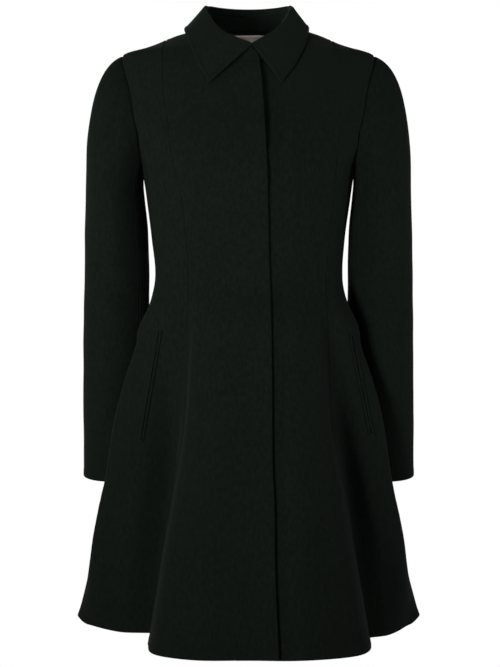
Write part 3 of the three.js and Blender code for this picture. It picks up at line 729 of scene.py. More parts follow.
def pocket_line(side, count):
    """Distances from the centre line and levels, down a pocket's slit."""
    (top_x, top_z), (bottom_x, bottom_z) = POCKETS[side]
    level = np.linspace(top_z, bottom_z, count)
    middle = np.linspace(top_x, bottom_x, count)
    return middle, level


def side_front_fold(side, x, level):
    sign = -1 if side == "right" else 1
    return sign * fold_at(side, level, x, (FRONT_RIDGE, SIDE), True)


def tack_point(level):
    """A tack on the right front, a little in from its edge."""
    level = np.array([level], float)
    x = along(SEAMS, "edge", level) - TACK_IN
    fold = -fold_at("right", level, -x, (-FRONT_RIDGE, FRONT_RIDGE), True)
    return fold, level


def front_relief(side, grid, level):
    """The form of a front near its edge, and the dimples of its hidden fastening."""
    if side == "right":
        lift = along(EDGE_LIFT, "lift", level)
        total = lift * bell(grid.from_start, EDGE_WIDTH)
        for tack in TACK_LEVELS:
            spot = body_point(*tack_point(tack))[0]
            away = np.linalg.norm(grid.point - spot, axis=-1)
            total = total - DIMPLE_DEPTH * bell(away, DIMPLE_WIDTH)
        return total
    x = grid.point[..., 0]
    edge = along(SEAMS, "edge", level)
    beyond = x - edge - LAP_BEYOND
    lapped = along(SEAMS, "lap", level) * (1 - between(beyond, 0, LAP_RISE))
    return -lapped - along(EDGE_LIFT, "sink", level) * bell(x - edge, SINK_WIDTH)


def pocket_relief(side, grid):
    """The slit pulls the cloth in along the pocket."""
    middle, level = pocket_line(side, POCKET_STOPS)
    path = body_point(side_front_fold(side, middle, level), level)
    away = np.min(
        [np.linalg.norm(grid.point - place, axis=-1) for place in path], axis=0
    )
    return -POCKET_PULL * bell(away, POCKET_PULL_WIDTH)


def body_grid(kind, side, across, down):
    panel = Panel(kind, side)
    grid = Grid(panel.place, across, down)
    level = panel.level(grid.share, grid.run)
    fold = panel.fold(grid.share, level)
    grid.out = outward(fold, level)
    relief = unevenness(grid.point) + crease_field(grid.point, BODY_CREASES, body_point)
    if kind == "front":
        relief = relief + front_relief(side, grid, level)
    if kind == "side_front":
        relief = relief + pocket_relief(side, grid)
    grid.relief = relief
    grid.level = level
    return grid


HEM_TURN = 9
FRONT_TURN = 7
TOP_SEAM_SHARE = 0.6


def join_grids(left, right):
    """The back's two halves as one grid, which share their centre line."""
    joined = Grid.__new__(Grid)
    for name in ("point", "out", "relief", "from_top", "from_hem", "level"):
        first = getattr(left, name)[:, ::-1]
        second = getattr(right, name)[:, 1:]
        setattr(joined, name, np.concatenate([first, second], axis=1))
    outer = np.concatenate([left.from_end[:, ::-1], right.from_end[:, 1:]], axis=1)
    joined.from_start = outer
    joined.from_end = outer
    joined.size = (left.size[0] * 2, left.size[1])
    return joined


def body_panel(name, grid, is_free_start):
    """A panel as a cloth shell, with felled seams and a turned hem."""
    relief = grid.relief + turned_edge(grid.from_hem, HEM_TURN)
    rounding = np.maximum(free_rounding(grid.from_hem, WALL), seam_rounding(grid.from_top))
    rounding = np.maximum(rounding, seam_rounding(grid.from_end))
    relief = relief + felled_seam(grid.from_end) + TOP_SEAM_SHARE * felled_seam(grid.from_top)
    if is_free_start:
        rounding = np.maximum(rounding, free_rounding(grid.from_start, WALL))
        relief = relief + turned_edge(grid.from_start, FRONT_TURN)
    else:
        rounding = np.maximum(rounding, seam_rounding(grid.from_start))
        relief = relief + felled_seam(grid.from_start)
    return dress(name, grid, relief, rounding, WALL, wool)


def dress(name, grid, relief, rounding, thickness, material):
    """A piece of cloth as a closed shell."""
    point = grid.point + grid.out * relief[..., None]
    points, faces = cloth_shell(point, grid.out, thickness, rounding)
    squares = np.cross(np.diff(point[:, :-1], axis=0), np.diff(point[:-1], axis=1))
    width, length = grid.size
    return make_object(name, points, faces, material)


# Materials
def node_material(name):
    material = bpy.data.materials.new(name)
    material.use_nodes = True
    nodes = material.node_tree.nodes
    shader = nodes["Principled BSDF"]
    return material, nodes, material.node_tree.links, shader


def noise_node(nodes, links, coordinates, scale, detail, stretch=(1, 1, 1)):
    mapping = nodes.new("ShaderNodeMapping")
    mapping.inputs["Scale"].default_value = stretch
    links.new(coordinates, mapping.inputs["Vector"])
    noise = nodes.new("ShaderNodeTexNoise")
    noise.inputs["Scale"].default_value = scale
    noise.inputs["Detail"].default_value = detail
    links.new(mapping.outputs["Vector"], noise.inputs["Vector"])
    return noise.outputs["Fac"]


def blend_node(nodes, links, kind, first, second):
    node = nodes.new("ShaderNodeMath")
    node.operation = kind
    for socket, value in zip(node.inputs, (first, second)):
        if isinstance(value, (int, float)):
            socket.default_value = value
        else:
            links.new(value, socket)
    return node.outputs["Value"]


def colour_between(nodes, links, value, shader, dark, light, ends=(0, 1)):
    """The shader's colour goes from dark to light as a value goes between two ends."""
    ramp = nodes.new("ShaderNodeValToRGB")
    for element, position, colour in zip(ramp.color_ramp.elements, ends, (dark, light)):
        element.position = position
        element.color = (*colour, 1)
    links.new(value, ramp.inputs["Fac"])
    links.new(ramp.outputs["Color"], shader.inputs["Base Color"])


def fine_relief(nodes, links, height, shader, strength, distance):
    bump = nodes.new("ShaderNodeBump")
    bump.inputs["Strength"].default_value = strength
    bump.inputs["Distance"].default_value = distance
    links.new(height, bump.inputs["Height"])
    links.new(bump.outputs["Normal"], shader.inputs["Normal"])


def weighted_sum(nodes, links, first, first_share, second, second_share):
    first = blend_node(nodes, links, "MULTIPLY", first, first_share)
    second = blend_node(nodes, links, "MULTIPLY", second, second_share)
    return blend_node(nodes, links, "ADD", first, second)


def wool_material():
    """Brushed wool: short hairs that lie down the cloth, over a fine felted ground."""
    material, nodes, links, shader = node_material("brushed_wool")
    place = nodes.new("ShaderNodeTexCoord").outputs["Object"]
    hairs = noise_node(nodes, links, place, scale=1500, detail=3, stretch=(1, 1, 0.3))
    ground = noise_node(nodes, links, place, scale=620, detail=4, stretch=(1, 1, 0.75))
    patches = noise_node(nodes, links, place, scale=34, detail=3)
    flecks = noise_node(nodes, links, place, scale=260, detail=2, stretch=(1, 1, 0.45))
    tone = weighted_sum(nodes, links, patches, 0.12, flecks, 0.88)
    dark = (0.0040, 0.0055, 0.0044)
    light = (0.0060, 0.0084, 0.0066)
    colour_between(nodes, links, tone, shader, dark, light, ends=(0.3, 0.7))
    height = weighted_sum(nodes, links, hairs, 1, ground, 1.4)
    fine_relief(nodes, links, height, shader, strength=0.55, distance=0.00035)
    shader.inputs["Roughness"].default_value = 0.92
    shader.inputs["Specular IOR Level"].default_value = 0.03
    shader.inputs["Sheen Weight"].default_value = 0.03
    shader.inputs["Sheen Roughness"].default_value = 0.4
    shader.inputs["Sheen Tint"].default_value = (0.8, 1, 0.86, 1)
    return material


def satin_material():
    """A woven satin label, bare, with fine ribs along it."""
    material, nodes, links, shader = node_material("label_satin")
    place = nodes.new("ShaderNodeTexCoord").outputs["Object"]
    ribs = nodes.new("ShaderNodeTexWave")
    ribs.bands_direction = "Z"
    ribs.inputs["Scale"].default_value = 420
    ribs.inputs["Distortion"].default_value = 0.6
    links.new(place, ribs.inputs["Vector"])
    cloudy = noise_node(nodes, links, place, scale=180, detail=3)
    colour_between(nodes, links, cloudy, shader, dark=(0.6, 0.47, 0.46), light=(0.82, 0.7, 0.69))
    fine_relief(nodes, links, ribs.outputs["Fac"], shader, strength=0.3, distance=0.0001)
    shader.inputs["Roughness"].default_value = 0.42
    shader.inputs["Sheen Weight"].default_value = 0.15
    return material


def thread_material():
    """Black silk thread, twisted."""
    material, nodes, links, shader = node_material("black_thread")
    place = nodes.new("ShaderNodeTexCoord").outputs["Object"]
    twist = noise_node(nodes, links, place, scale=2600, detail=2, stretch=(1, 1, 0.5))
    dark = (0.003, 0.004, 0.0035)
    colour_between(nodes, links, twist, shader, dark, light=(0.009, 0.011, 0.01))
    shader.inputs["Roughness"].default_value = 0.6
    shader.inputs["Specular IOR Level"].default_value = 0.1
    return material


def floor_material():
    """A pale matt floor with faint mottling."""
    material, nodes, links, shader = node_material("pale_floor")
    place = nodes.new("ShaderNodeTexCoord").outputs["Object"]
    mottle = noise_node(nodes, links, place, scale=5, detail=4)
    colour_between(nodes, links, mottle, shader, dark=(0.8, 0.8, 0.8), light=(0.86, 0.86, 0.86))
    shader.inputs["Roughness"].default_value = 0.8
    return material


wool = wool_material()
satin = satin_material()
thread = thread_material()


# The body, with each panel's number of grid lines across
PANELS_ACROSS = {"front": 46, "side_front": 52, "side_back": 44}
HALF_BACK_ACROSS = 30
BODY_DOWN = 180
for side in ("right", "left"):
    for kind, across in PANELS_ACROSS.items():
        panel_grid = body_grid(kind, side, across, BODY_DOWN)
        body_panel(f"coat_{kind}_{side}", panel_grid, is_free_start=kind == "front")
back_halves = [body_grid("back", side, HALF_BACK_ACROSS, BODY_DOWN) for side in ("left", "right")]
body_panel("coat_back", join_grids(*back_halves), is_free_start=False)


# The sleeves: level rings, with the middle and the half sizes of each
SLEEVE = table(
    "z x y across deep",
    (-238, 193, 2, 43, 62),
    (-290, 191.7, 8, 45.8, 58),
    (-350, 192.3, 20, 47.3, 54),
    (-430, 194.7, 41, 47.7, 50),
    (-540, 199.5, 62, 46, 47),
    (-647, 204, 80, 43, 44),
)
CAP_END_Z = -238
CUFF_Z = -647
CUFF_TILT = 0.16
CAP_RUN_TOP = 178
CAP_RUN_BOTTOM = 26
BACK_SEAM = math.radians(-112)
FRONT_SEAM = math.radians(138)
CAP_SHARE = 0.36
CUFF_TURN = 10
SLEEVE_TUCK = 3.5
SLEEVE_SUNK = 2.2


def armhole_point(turn, sign):
    level = ARMHOLE_MIDDLE + ARMHOLE_HALF * np.cos(turn)
    share = np.abs(np.sin(turn))
    front = QUARTER - ARMHOLE_FRONT * share
    back = QUARTER + ARMHOLE_BACK * share
    x, y = section_point(np.where(np.sin(turn) > 0, front, back), level)
    return np.stack([sign * x, y, level], axis=-1)


def ring_point(turn, level, sign):
    across = along(SLEEVE, "across", level) * np.cos(turn)
    deep = -along(SLEEVE, "deep", level) * np.sin(turn)
    tilt = CUFF_TILT * np.clip((CAP_END_Z - level) / (CAP_END_Z - CUFF_Z), 0, 1)
    x = sign * (along(SLEEVE, "x", level) + across)
    return np.stack([x, along(SLEEVE, "y", level) + deep, level + tilt * deep], axis=-1)


CAP_SPREAD = 0.22
CAP_INSET = 0.5


def cap_point(turn, t, sign):
    """The cap runs out of the armhole and turns down into the first ring."""
    top = (1 + np.cos(turn)) / 2
    rest = (1 - CAP_SPREAD) * top
    way = unit(
        np.stack([sign * (CAP_SPREAD + rest), -CAP_SPREAD * np.sin(turn), rest - 1], axis=-1)
    )
    body_out = unit(np.stack([sign * (1.0001 - top), 0 * top, top], axis=-1))
    start = armhole_point(turn, sign) - body_out * CAP_INSET - way * SLEEVE_TUCK
    level = np.full_like(turn, CAP_END_Z)
    end = ring_point(turn, level, sign)
    down = ring_point(turn, level - 1, sign) - end
    run = mix(CAP_RUN_BOTTOM, CAP_RUN_TOP, top)
    near = (t * (1 - t) ** 2 * run)[..., None]
    far = (t * t * (1 - t) * run)[..., None]
    return mix(start, end, ease(t)[..., None]) + way * near - down * far


def sleeve_point(turn, run, sign):
    """A run of 0 is at the armhole and 1 at the cuff."""
    t = np.clip(run / CAP_SHARE, 0, 1)
    level = mix(CAP_END_Z, CUFF_Z, (run - CAP_SHARE) / (1 - CAP_SHARE))
    cap = cap_point(turn, t, sign)
    rings = ring_point(turn, np.minimum(level, CAP_END_Z), sign)
    return np.where((run < CAP_SHARE)[..., None], cap, rings)


# Creases of the sleeves: height, width, then turns in degrees and runs along each
SLEEVE_CREASES = [
    (-2.2, 12, (60, 0.5), (85, 0.56), (125, 0.6)),
    (-1.9, 11, (40, 0.6), (75, 0.64), (120, 0.655)),
    (1.6, 12, (50, 0.56), (80, 0.6), (110, 0.625)),
    (-1.6, 12, (30, 0.7), (70, 0.72), (110, 0.71)),
    (-1.8, 12, (70, 0.1), (78, 0.2), (96, 0.32)),
    (-1.5, 11, (38, 0.06), (44, 0.16), (60, 0.28)),
    (-2.0, 12, (-66, 0.1), (-78, 0.22), (-98, 0.34)),
    (-1.6, 12, (-30, 0.52), (-70, 0.58), (-115, 0.6)),
    (-1.4, 11, (-45, 0.66), (-85, 0.68), (-125, 0.66)),
    (-1.5, 14, (-20, 0.76), (-40, 0.86), (-50, 0.96)),
    (-1.4, 13, (100, 0.8), (84, 0.88), (80, 0.97)),
]


SLEEVE_DOWN = 120
SLEEVE_STATIONS = (65, 221)
SLEEVE_ACROSS_UPPER = 52
SLEEVE_ACROSS_UNDER = 24
SLEEVE_UNEVENNESS = 1.2


def sleeve_part(name, side, start, end, across):
    """Part of a sleeve's tube between two turns. The cuff and the armhole's edge are open."""
    sign = -1 if side == "right" else 1

    def place(share, run):
        return sleeve_point(mix(start, end, share), np.clip(run, 0, 1), sign)

    def crease_place(degrees, run):
        return sleeve_point(np.radians(degrees), run, sign)

    grid = Grid(place, across, SLEEVE_DOWN, SLEEVE_STATIONS)
    grid.out = facing(place, grid.share, grid.run) * -sign
    relief = unevenness(grid.point + 31) * SLEEVE_UNEVENNESS
    relief = relief + crease_field(grid.point, SLEEVE_CREASES, crease_place)
    relief = relief * between(grid.from_top, 0, 30)
    relief = relief - SLEEVE_SUNK * (1 - between(grid.from_top, 0, 2.2 * SLEEVE_TUCK))
    relief = relief + felled_seam(grid.from_start) + felled_seam(grid.from_end)
    relief = relief + turned_edge(grid.from_hem, CUFF_TURN)
    rounding = np.maximum(free_rounding(grid.from_hem, WALL), seam_rounding(grid.from_start))
    rounding = np.maximum(rounding, seam_rounding(grid.from_end))
    rounding = np.maximum(rounding, free_rounding(grid.from_top, WALL))
    return dress(name, grid, relief, rounding, WALL, wool)


for side in ("right", "left"):
    back_again = 2 * math.pi + BACK_SEAM
    sleeve_part(f"coat_sleeve_{side}_upper", side, BACK_SEAM, FRONT_SEAM, SLEEVE_ACROSS_UPPER)
    sleeve_part(f"coat_sleeve_{side}_under", side, FRONT_SEAM, back_again, SLEEVE_ACROSS_UNDER)


# The collar, a row for each station from the centre back to the front. On the left side the edge
# lies further in, and the fold further back where the right stand laps it.
COLLAR = table(
    "station neck fold_x fold_y fold_z edge_x edge_z bulge left_in left_back shift",
    (0, 0, 0, 52.4, 41.4, 0, -14, 2.8, 0, 0, 0),
    (1, 24, 22, 49.5, 41.4, 29, -14, 2.8, 0, 0, 0),
    (2, 45, 41.7, 38.8, 41.2, 54, -12.5, 2, 1, 0, 0),
    (3, 61, 56, 21, 40.2, 75, -7, 1, 3, 0, 0),
    (4, 69.9, 61.4, 2, 37, 88, 3, 0, 5, 0, 0),
    (5, 69.3, 60.3, -17.6, 29, 89, -8, 0, 5, 0, 0),
    (6, 65.5, 54.6, -37, 14.8, 86, -19, 1, 4, 0, 0),
    (7, 57, 45.2, -55.6, 0.3, 80.5, -35, 2, 3, 0, 0),
    (8, 44, 33.3, -69, -11.2, 73.5, -52, 2.4, 4, 0, 0),
    (9, 27, 19.8, -78, -20.9, 65, -70, 2.4, 6, 2.6, 0.5),
    (10, 1, -0.6, -84, -31.6, 54, -89, 2.4, 9.5, 3.4, 5.1),
)
LAST_STATION = 10
NECK_POINT_STATION = 4
STAND_ENDS = table(
    "sign neck fold_x fold_y fold_z left_back shift",
    (-1, -17, -15, -81, -38, 0, 0),
    (1, -12, -12, -78.6, -38, 3.4, 0),
)
LABEL_HALF = 26
STAND_ROWS = 4
STAND_FOOT = 0.5
STAND_TUCKED_FOOT = -3
STAND_IN = 1.2
SEAM_BELOW_FOLD = 9
COLLAR_SEAM_GAP = 0.3
THROAT_RISE = 5
THROAT_IN = 0.6
ROLL_RADIUS = 0.8
ROLL_STEPS = 4
FALL_ROWS = 5
FALL_LIFT = WALL + 1.5


def station_row(columns, i):
    return {name: float(values[i]) for name, values in columns.items()}


def whole_fold(sign, x, level, is_back):
    folds = (SIDE, CENTRE_BACK) if is_back else (0, SIDE)
    side = "right" if sign < 0 else "left"
    level = np.array([level], float)
    return sign * fold_at(side, level, np.array([x]), folds, not is_back), level


def neck_place(x, is_back, sign):
    level = float(top_level(np.array([abs(x)]), not is_back)[0])
    side = "right" if sign < 0 else "left"
    folds = Panel.folds["back" if is_back else "front"]
    at = np.array([level])
    fold = sign * fold_at(side, at, np.array([x]), folds, not is_back)
    return body_point(fold, at)[0]


def fold_place(row, sign):
    behind = row["left_back"] if sign > 0 else 0
    return np.array([sign * row["fold_x"] + row["shift"], row["fold_y"] + behind, row["fold_z"]])


def foot_place(row, is_back, sign):
    place = neck_place(row["neck"] + sign * row["shift"], is_back, sign)
    if sign > 0:
        place[1] += row["left_back"]
    return place


def stand_section(row, is_back, sign, top_gap):
    """The stand from its seam with the fall down to the neck, where it ends inside the panels,
    apart from the centre back, where the label is."""
    foot = foot_place(row, is_back, sign)
    top = fold_place(row, sign)
    up = unit(top - foot)
    is_at_label = is_back and row["neck"] <= LABEL_HALF
    foot = foot + up * (STAND_FOOT if is_at_label else STAND_TUCKED_FOOT)
    top = top - up * top_gap
    section = np.array([mix(top, foot, i / STAND_ROWS) for i in range(STAND_ROWS + 1)])
    if not is_at_label:
        tuck = np.linspace(0, 1, STAND_ROWS + 1)[:, None] ** 3
        section += tuck * STAND_IN * unit(np.array([-foot[0], -foot[1], 0]))
    return section


def stand_half(sign):
    top_gap = SEAM_BELOW_FOLD + COLLAR_SEAM_GAP
    sections = [
        stand_section(station_row(COLLAR, i), i <= NECK_POINT_STATION, sign, top_gap)
        for i in range(LAST_STATION + 1)
    ]
    last = station_row(COLLAR, LAST_STATION)
    sections[-1] = stand_section(last, False, sign, top_gap - THROAT_RISE) + (0, THROAT_IN, 0)
    end = station_row(STAND_ENDS, 0 if sign < 0 else 1)
    return sections + [stand_section(end, False, sign, 0)]


def fall_section(row, is_back, away, sign):
    """The fall from its seam inside the neck, over the fold and down to its edge."""
    fold = fold_place(row, sign)
    section = []
    for i in range(ROLL_STEPS + 1):
        turn = math.pi * i / ROLL_STEPS
        out = ROLL_RADIUS * (1 - math.cos(turn))
        section.append(fold + away * out + (0, 0, ROLL_RADIUS * math.sin(turn)))
    down = unit(foot_place(row, is_back, sign) - fold)
    section.insert(0, section[0] + down * SEAM_BELOW_FOLD)
    reach = row["edge_x"] - (row["left_in"] if sign > 0 else 0)
    level = min(row["edge_z"], float(top_level(np.array([reach]), not is_back)[0]))
    at = whole_fold(sign, reach, level, is_back)
    edge = (body_point(*at) + outward(*at) * FALL_LIFT)[0]
    start = section[-1]
    for i in range(1, FALL_ROWS + 1):
        t = i / FALL_ROWS
        section.append(mix(start, edge, t) + away * row["bulge"] * math.sin(math.pi * t))
    return np.array(section)


def fall_sections():
    numbers = range(LAST_STATION + 1)
    stations = [(i, -1) for i in reversed(numbers)] + [(i, 1) for i in numbers[1:]]
    rows = [(station_row(COLLAR, i), i <= NECK_POINT_STATION, sign) for i, sign in stations]
    places = [fold_place(row, sign) * (1, 1, 0) for row, _, sign in rows]
    sections = []
    for k, (row, is_back, sign) in enumerate(rows):
        run = unit(places[min(k + 1, len(places) - 1)] - places[max(k - 1, 0)])
        sections.append(fall_section(row, is_back, np.array([-run[1], run[0], 0]), sign))
    return sections


def along_knots(knots, t):
    """Points on smooth curves, each through its own column of knots, at t knots along."""
    last = len(knots) - 1
    i = np.clip(np.floor(t), 0, last - 1).astype(int)
    part = (t - i)[:, None]
    column = np.arange(len(t))
    start = knots[i, column]
    end = knots[i + 1, column]
    before = np.where((i > 0)[:, None], knots[np.maximum(i - 1, 0), column], 2 * start - end)
    is_inner = (i + 2 <= last)[:, None]
    after = np.where(is_inner, knots[np.minimum(i + 2, last), column], 2 * end - start)
    first = (end - before) / 2
    second = (after - start) / 2
    bend = first * part * (1 - part) ** 2 - second * part * part * (1 - part)
    return start + (end - start) * ease(part) + bend


def smooth_surface(sections):
    """A smooth surface through sections of points. A share runs across them, a run along each."""
    knots = np.array(sections)
    count, length = knots.shape[:2]

    def place(share, run):
        share, run = np.broadcast_arrays(share, run)
        across = share.ravel() * (count - 1)
        down = run.ravel() * (length - 1)
        columns = np.broadcast_to(knots[:, :, None], (count, length, len(across), 3))
        rows = np.array([along_knots(columns[:, j], across) for j in range(length)])
        return along_knots(rows, down).reshape(*share.shape, 3)

    return place


COLLAR_STATIONS = (161, 81)


def collar_grid(sections, across, down):
    place = smooth_surface(sections)
    grid = Grid(place, across, down, COLLAR_STATIONS)
    grid.out = facing(place, grid.share, grid.run)
    return grid


COLLAR_ACROSS_STAND = 110
COLLAR_ACROSS_FALL = 120
STAND_DOWN = 6
FALL_DOWN = 30
STAND_UNEVENNESS = 0.4
FALL_UNEVENNESS = 0.8
COLLAR_TURN = 4.5
COLLAR_TURN_SHARE = 1.6
COLLAR_RIDGE = 0.6
COLLAR_RIDGE_WIDTH = 1.1
ROLL_END = 12
stand_sections = stand_half(1)[::-1] + stand_half(-1)[1:]
stand = collar_grid(stand_sections, COLLAR_ACROSS_STAND, STAND_DOWN)
stand_relief = STAND_UNEVENNESS * unevenness(stand.point)
stand_rounding = np.maximum(
    free_rounding(stand.from_top, WALL), free_rounding(stand.from_start, WALL)
)
stand_rounding = np.maximum(stand_rounding, free_rounding(stand.from_end, WALL))
stand_rounding = np.maximum(stand_rounding, seam_rounding(stand.from_hem))
dress("coat_collar_stand", stand, stand_relief, stand_rounding, WALL, wool)

# The fall's outer face is the shell's inner one, so its relief goes the other way.
fall = collar_grid(fall_sections(), COLLAR_ACROSS_FALL, FALL_DOWN)
fall_edge = np.minimum(np.minimum(fall.from_start, fall.from_end), fall.from_hem)
fall_relief = -FALL_UNEVENNESS * unevenness(fall.point + 57)
fall_relief = fall_relief - COLLAR_TURN_SHARE * turned_edge(fall_edge, COLLAR_TURN)
fall_relief = fall_relief - COLLAR_RIDGE * bell(fall_edge - COLLAR_TURN, COLLAR_RIDGE_WIDTH)
fall_relief = fall_relief * between(fall.from_top, ROLL_END, 2 * ROLL_END)
fall_rounding = np.maximum(free_rounding(fall_edge, WALL), free_rounding(fall.from_top, WALL))
dress("coat_collar_fall", fall, fall_relief, fall_rounding, WALL, wool)


# The pockets' lips, rounded welts on both sides of each slit
LIP_THICKNESS = 1.7
LIP_SUNK = 0.3
LIP_ACROSS = 11
LIP_DOWN = 90
LIP_STATIONS = 60


def pocket_lip(name, side, start, end):
    middle, level = pocket_line(side, LIP_STATIONS)
    stations = np.linspace(0, 1, LIP_STATIONS)
    shares, runs = np.meshgrid(np.linspace(0, 1, LIP_ACROSS), np.linspace(0, 1, LIP_DOWN))
    at = np.interp(runs, stations, level)
    x = np.interp(runs, stations, middle) + mix(start, end, shares)
    fold = side_front_fold(side, x, at)
    point = body_point(fold, at)
    out = outward(fold, at)
    relief = unevenness(point) + crease_field(point, BODY_CREASES, body_point)
    lift = relief + LIP_THICKNESS - LIP_SUNK
    from_side = np.minimum(shares, 1 - shares) * LIP_WIDTH
    length = np.linalg.norm(point[-1, 0] - point[0, 0])
    from_end = np.minimum(runs, 1 - runs) * length
    rounding = free_rounding(np.minimum(from_side, from_end), LIP_THICKNESS)
    points, faces = cloth_shell(point + out * lift[..., None], out, LIP_THICKNESS, rounding)
    return make_object(name, points, faces, wool)


for side in ("right", "left"):
    half_slit = SLIT / 2
    outer = half_slit + LIP_WIDTH
    pocket_lip(f"coat_pocket_{side}_front_lip", side, -outer, -half_slit)
    pocket_lip(f"coat_pocket_{side}_back_lip", side, half_slit, outer)


# Small bars of thread at the ends of the pockets and on the fly
THREAD_RADIUS = 0.32
THREAD_SPACING = 1.9 * THREAD_RADIUS
THREAD_RISE = 0.7
THREAD_RINGS = 7
THREAD_SIDES = 6


def thread_bar(centre, way, out, length, width):
    """Threads side by side across a bar, each a low arch."""
    cross = unit(np.cross(out, way))
    count = int(length / THREAD_SPACING)
    points = []
    faces = []
    for i in range(count):
        middle = centre + way * (i - (count - 1) / 2) * THREAD_SPACING
        first = len(points)
        for ring in range(THREAD_RINGS):
            arc = math.pi * ring / (THREAD_RINGS - 1)
            spine = middle - cross * math.cos(arc) * width / 2 + out * math.sin(arc) * THREAD_RISE
            normal = -cross * math.cos(arc) + out * math.sin(arc)
            for corner in range(THREAD_SIDES):
                angle = 2 * math.pi * corner / THREAD_SIDES
                offset = way * math.cos(angle) + normal * math.sin(angle)
                points.append(spine + offset * THREAD_RADIUS)
        for ring in range(THREAD_RINGS - 1):
            for corner in range(THREAD_SIDES):
                near = first + ring * THREAD_SIDES + corner
                beside = first + ring * THREAD_SIDES + (corner + 1) % THREAD_SIDES
                faces.append([near, beside, beside + THREAD_SIDES, near + THREAD_SIDES])
    return points, faces


def tack_piece(name, bars):
    points = []
    faces = []
    for bar in bars:
        more, more_faces = thread_bar(*bar)
        faces += [[corner + len(points) for corner in face] for face in more_faces]
        points += more
    return make_object(name, np.array(points), np.array(faces), thread)


def surface_bar(fold, level, length, width, lift):
    """A level bar on the body's face: its centre, its way, the way out, its length and width."""
    way = np.array([1, 0, 0], float)
    point = body_point(fold, level)[0]
    out = outward(fold, level)[0]
    relief = unevenness(point) + crease_field(point[None], BODY_CREASES, body_point)[0]
    flat_way = unit(way - out * np.dot(out, way))
    return point + out * (relief + lift), flat_way, out, length, width


for side in ("right", "left"):
    bars = []
    middle, level = pocket_line(side, 2)
    for x, z in zip(middle, level):
        at = np.array([z])
        fold = side_front_fold(side, np.array([x]), at)
        bars.append(surface_bar(fold, at, length=8.4, width=1.3, lift=1.1))
    tack_piece(f"coat_pocket_{side}_tacks", bars)

fly_bars = []
for tack_level in TACK_LEVELS:
    fold, at = tack_point(tack_level)
    fly_bars.append(surface_bar(fold, at, length=7, width=1.1, lift=-0.75))
tack_piece("coat_fly_tacks", fly_bars)


# The bare label inside the back neck
LABEL_TOP = 8
LABEL_BOTTOM = -28
LABEL_CLEAR = 1.2
LABEL_THICKNESS = 0.6
LABEL_END_RISE = 0.35
LABEL_END_WIDTH = 6
LABEL_LINES = (54, 32)
label_x, label_level = np.meshgrid(
    np.linspace(LABEL_HALF, -LABEL_HALF, LABEL_LINES[0]),
    np.linspace(LABEL_TOP, LABEL_BOTTOM, LABEL_LINES[1]),
)
label_folds = np.zeros_like(label_x)
for side, sign in (("right", -1), ("left", 1)):
    here = label_x * sign >= 0
    found = fold_at(side, label_level[here], np.abs(label_x[here]), Panel.folds["back"], False)
    label_folds[here] = sign * found
label_out = outward(label_folds, label_level)
label_point = body_point(label_folds, label_level)
label_fold = LABEL_HALF - LABEL_END_WIDTH
label_end = between(np.abs(label_x), label_fold - 1, label_fold)
label_in = WALL + LABEL_CLEAR + LABEL_END_RISE * label_end
label_edge = np.minimum(LABEL_HALF - np.abs(label_x), LABEL_TOP - label_level)
label_edge = np.minimum(label_edge, label_level - LABEL_BOTTOM)
label_points, label_faces = cloth_shell(
    label_point - label_out * label_in[..., None],
    label_out,
    LABEL_THICKNESS,
    free_rounding(label_edge, LABEL_THICKNESS),
)
make_object("coat_neck_label", label_points, label_faces, satin)


# Every piece rides on the coat's one body, and stands for its solids
for name in frame["nodes"]:
    if name.endswith("_forearm"):
        continue
    piece = bpy.data.objects[f"coat_{name}"]
    forearm = f"{name}_forearm"
    solids = [name, forearm] if forearm in frame["nodes"] else [name]
    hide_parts(*solids)
for piece in list(bpy.context.scene.objects):
    if piece.name.startswith("coat_"):
        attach(piece, "root")

# Every sheet of cloth, listed and looked up by name
sheets = [f"coat_{kind}_{side}" for kind in PANELS_ACROSS for side in ("right", "left")]
sheets.append("coat_back")
for side in ("right", "left"):
    sheets += [f"coat_sleeve_{side}_upper", f"coat_sleeve_{side}_under"]
sheets += ["coat_collar_stand", "coat_collar_fall", "coat_neck_label"]
for name in sheets:
    piece = bpy.data.objects[name]


# The studio: a pale floor, a white surround and soft lights
FLOOR_Z = -1.42
FLOOR_RADIUS = 2.3
FLOOR_SIDES = 96
floor_mesh = bpy.data.meshes.new("floor")
floor_corners = [
    (FLOOR_RADIUS * math.cos(angle), FLOOR_RADIUS * math.sin(angle), FLOOR_Z)
    for angle in np.linspace(0, 2 * math.pi, FLOOR_SIDES + 1)[:-1]
]
floor_mesh.from_pydata(floor_corners, [], [list(range(len(floor_corners)))])
floor_mesh.materials.append(floor_material())
floor = bpy.data.objects.new("floor", floor_mesh)
bpy.context.scene.collection.objects.link(floor)

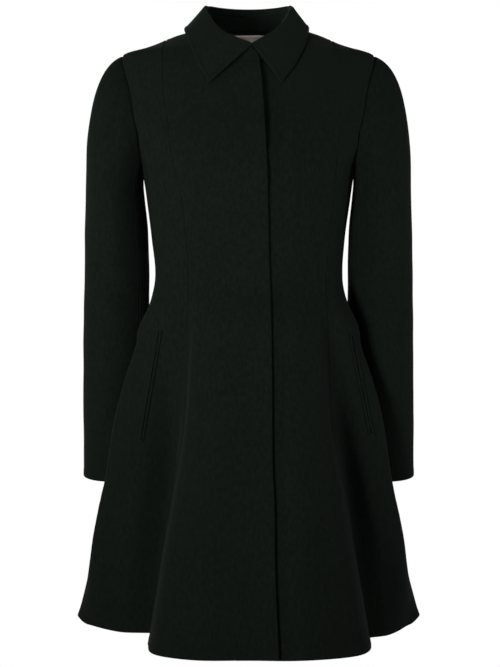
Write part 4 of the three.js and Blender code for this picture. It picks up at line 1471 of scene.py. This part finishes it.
# The surround is white behind the coat and below, and darker in front and above.
world = bpy.data.worlds.new("studio")
world.use_nodes = True
world_nodes = world.node_tree.nodes
world_links = world.node_tree.links
direction = world_nodes.new("ShaderNodeTexCoord").outputs["Generated"]
parts = world_nodes.new("ShaderNodeSeparateXYZ")
surround = world_nodes.new("ShaderNodeValToRGB")
surround.color_ramp.elements[0].position = 0.27
surround.color_ramp.elements[0].color = (1, 1, 1, 1)
surround.color_ramp.elements[1].position = 0.34
surround.color_ramp.elements[1].color = (0.05, 0.05, 0.05, 1)
world_links.new(direction, parts.inputs["Vector"])
world_links.new(parts.outputs["Z"], surround.inputs["Fac"])
behind = world_nodes.new("ShaderNodeMapRange")
behind.inputs["From Min"].default_value = 0.3
behind.inputs["From Max"].default_value = 0.85
behind.inputs["To Min"].default_value = 0.4
world_links.new(parts.outputs["Y"], behind.inputs["Value"])
world_links.new(behind.outputs["Result"], world_nodes["Background"].inputs["Strength"])
world_links.new(surround.outputs["Color"], world_nodes["Background"].inputs["Color"])
bpy.context.scene.world = world
bpy.context.scene.view_settings.view_transform = "Standard"


def soft_light(name, place, target, size, power, spread):
    """A square light with a grid on it. Its spread is in degrees."""
    data = bpy.data.lights.new(name, "AREA")
    data.shape = "SQUARE"
    data.size = size
    data.energy = power
    data.spread = math.radians(spread)
    light = bpy.data.objects.new(name, data)
    light.location = place
    way = np.array(target, float) - np.array(place, float)
    light.rotation_euler = Vector(way).to_track_quat("-Z", "Y").to_euler()
    bpy.context.scene.collection.objects.link(light)


soft_light("front", (-1.3, -2.6, -0.9), (0, 0, -0.28), size=0.8, power=7, spread=52)
soft_light("right", (-2.4, -0.7, 0.1), (-0.18, 0, -0.16), size=0.7, power=1.4, spread=40)
soft_light("left", (2.4, -0.9, -0.3), (0.16, 0, -0.3), size=0.7, power=2.1, spread=44)
soft_light("neck", (-0.2, -1.6, 0.9), (0, 0.02, 0.02), size=0.3, power=0.08, spread=8)

camera_data = bpy.data.cameras.new("camera")
camera_data.sensor_width = 36
camera_data.lens = 93.05
camera = bpy.data.objects.new("camera", camera_data)
camera.location = (0.0022, -2.5, -0.4357)
camera.rotation_euler = (QUARTER, 0, 0)
bpy.context.scene.collection.objects.link(camera)
bpy.context.scene.camera = camera
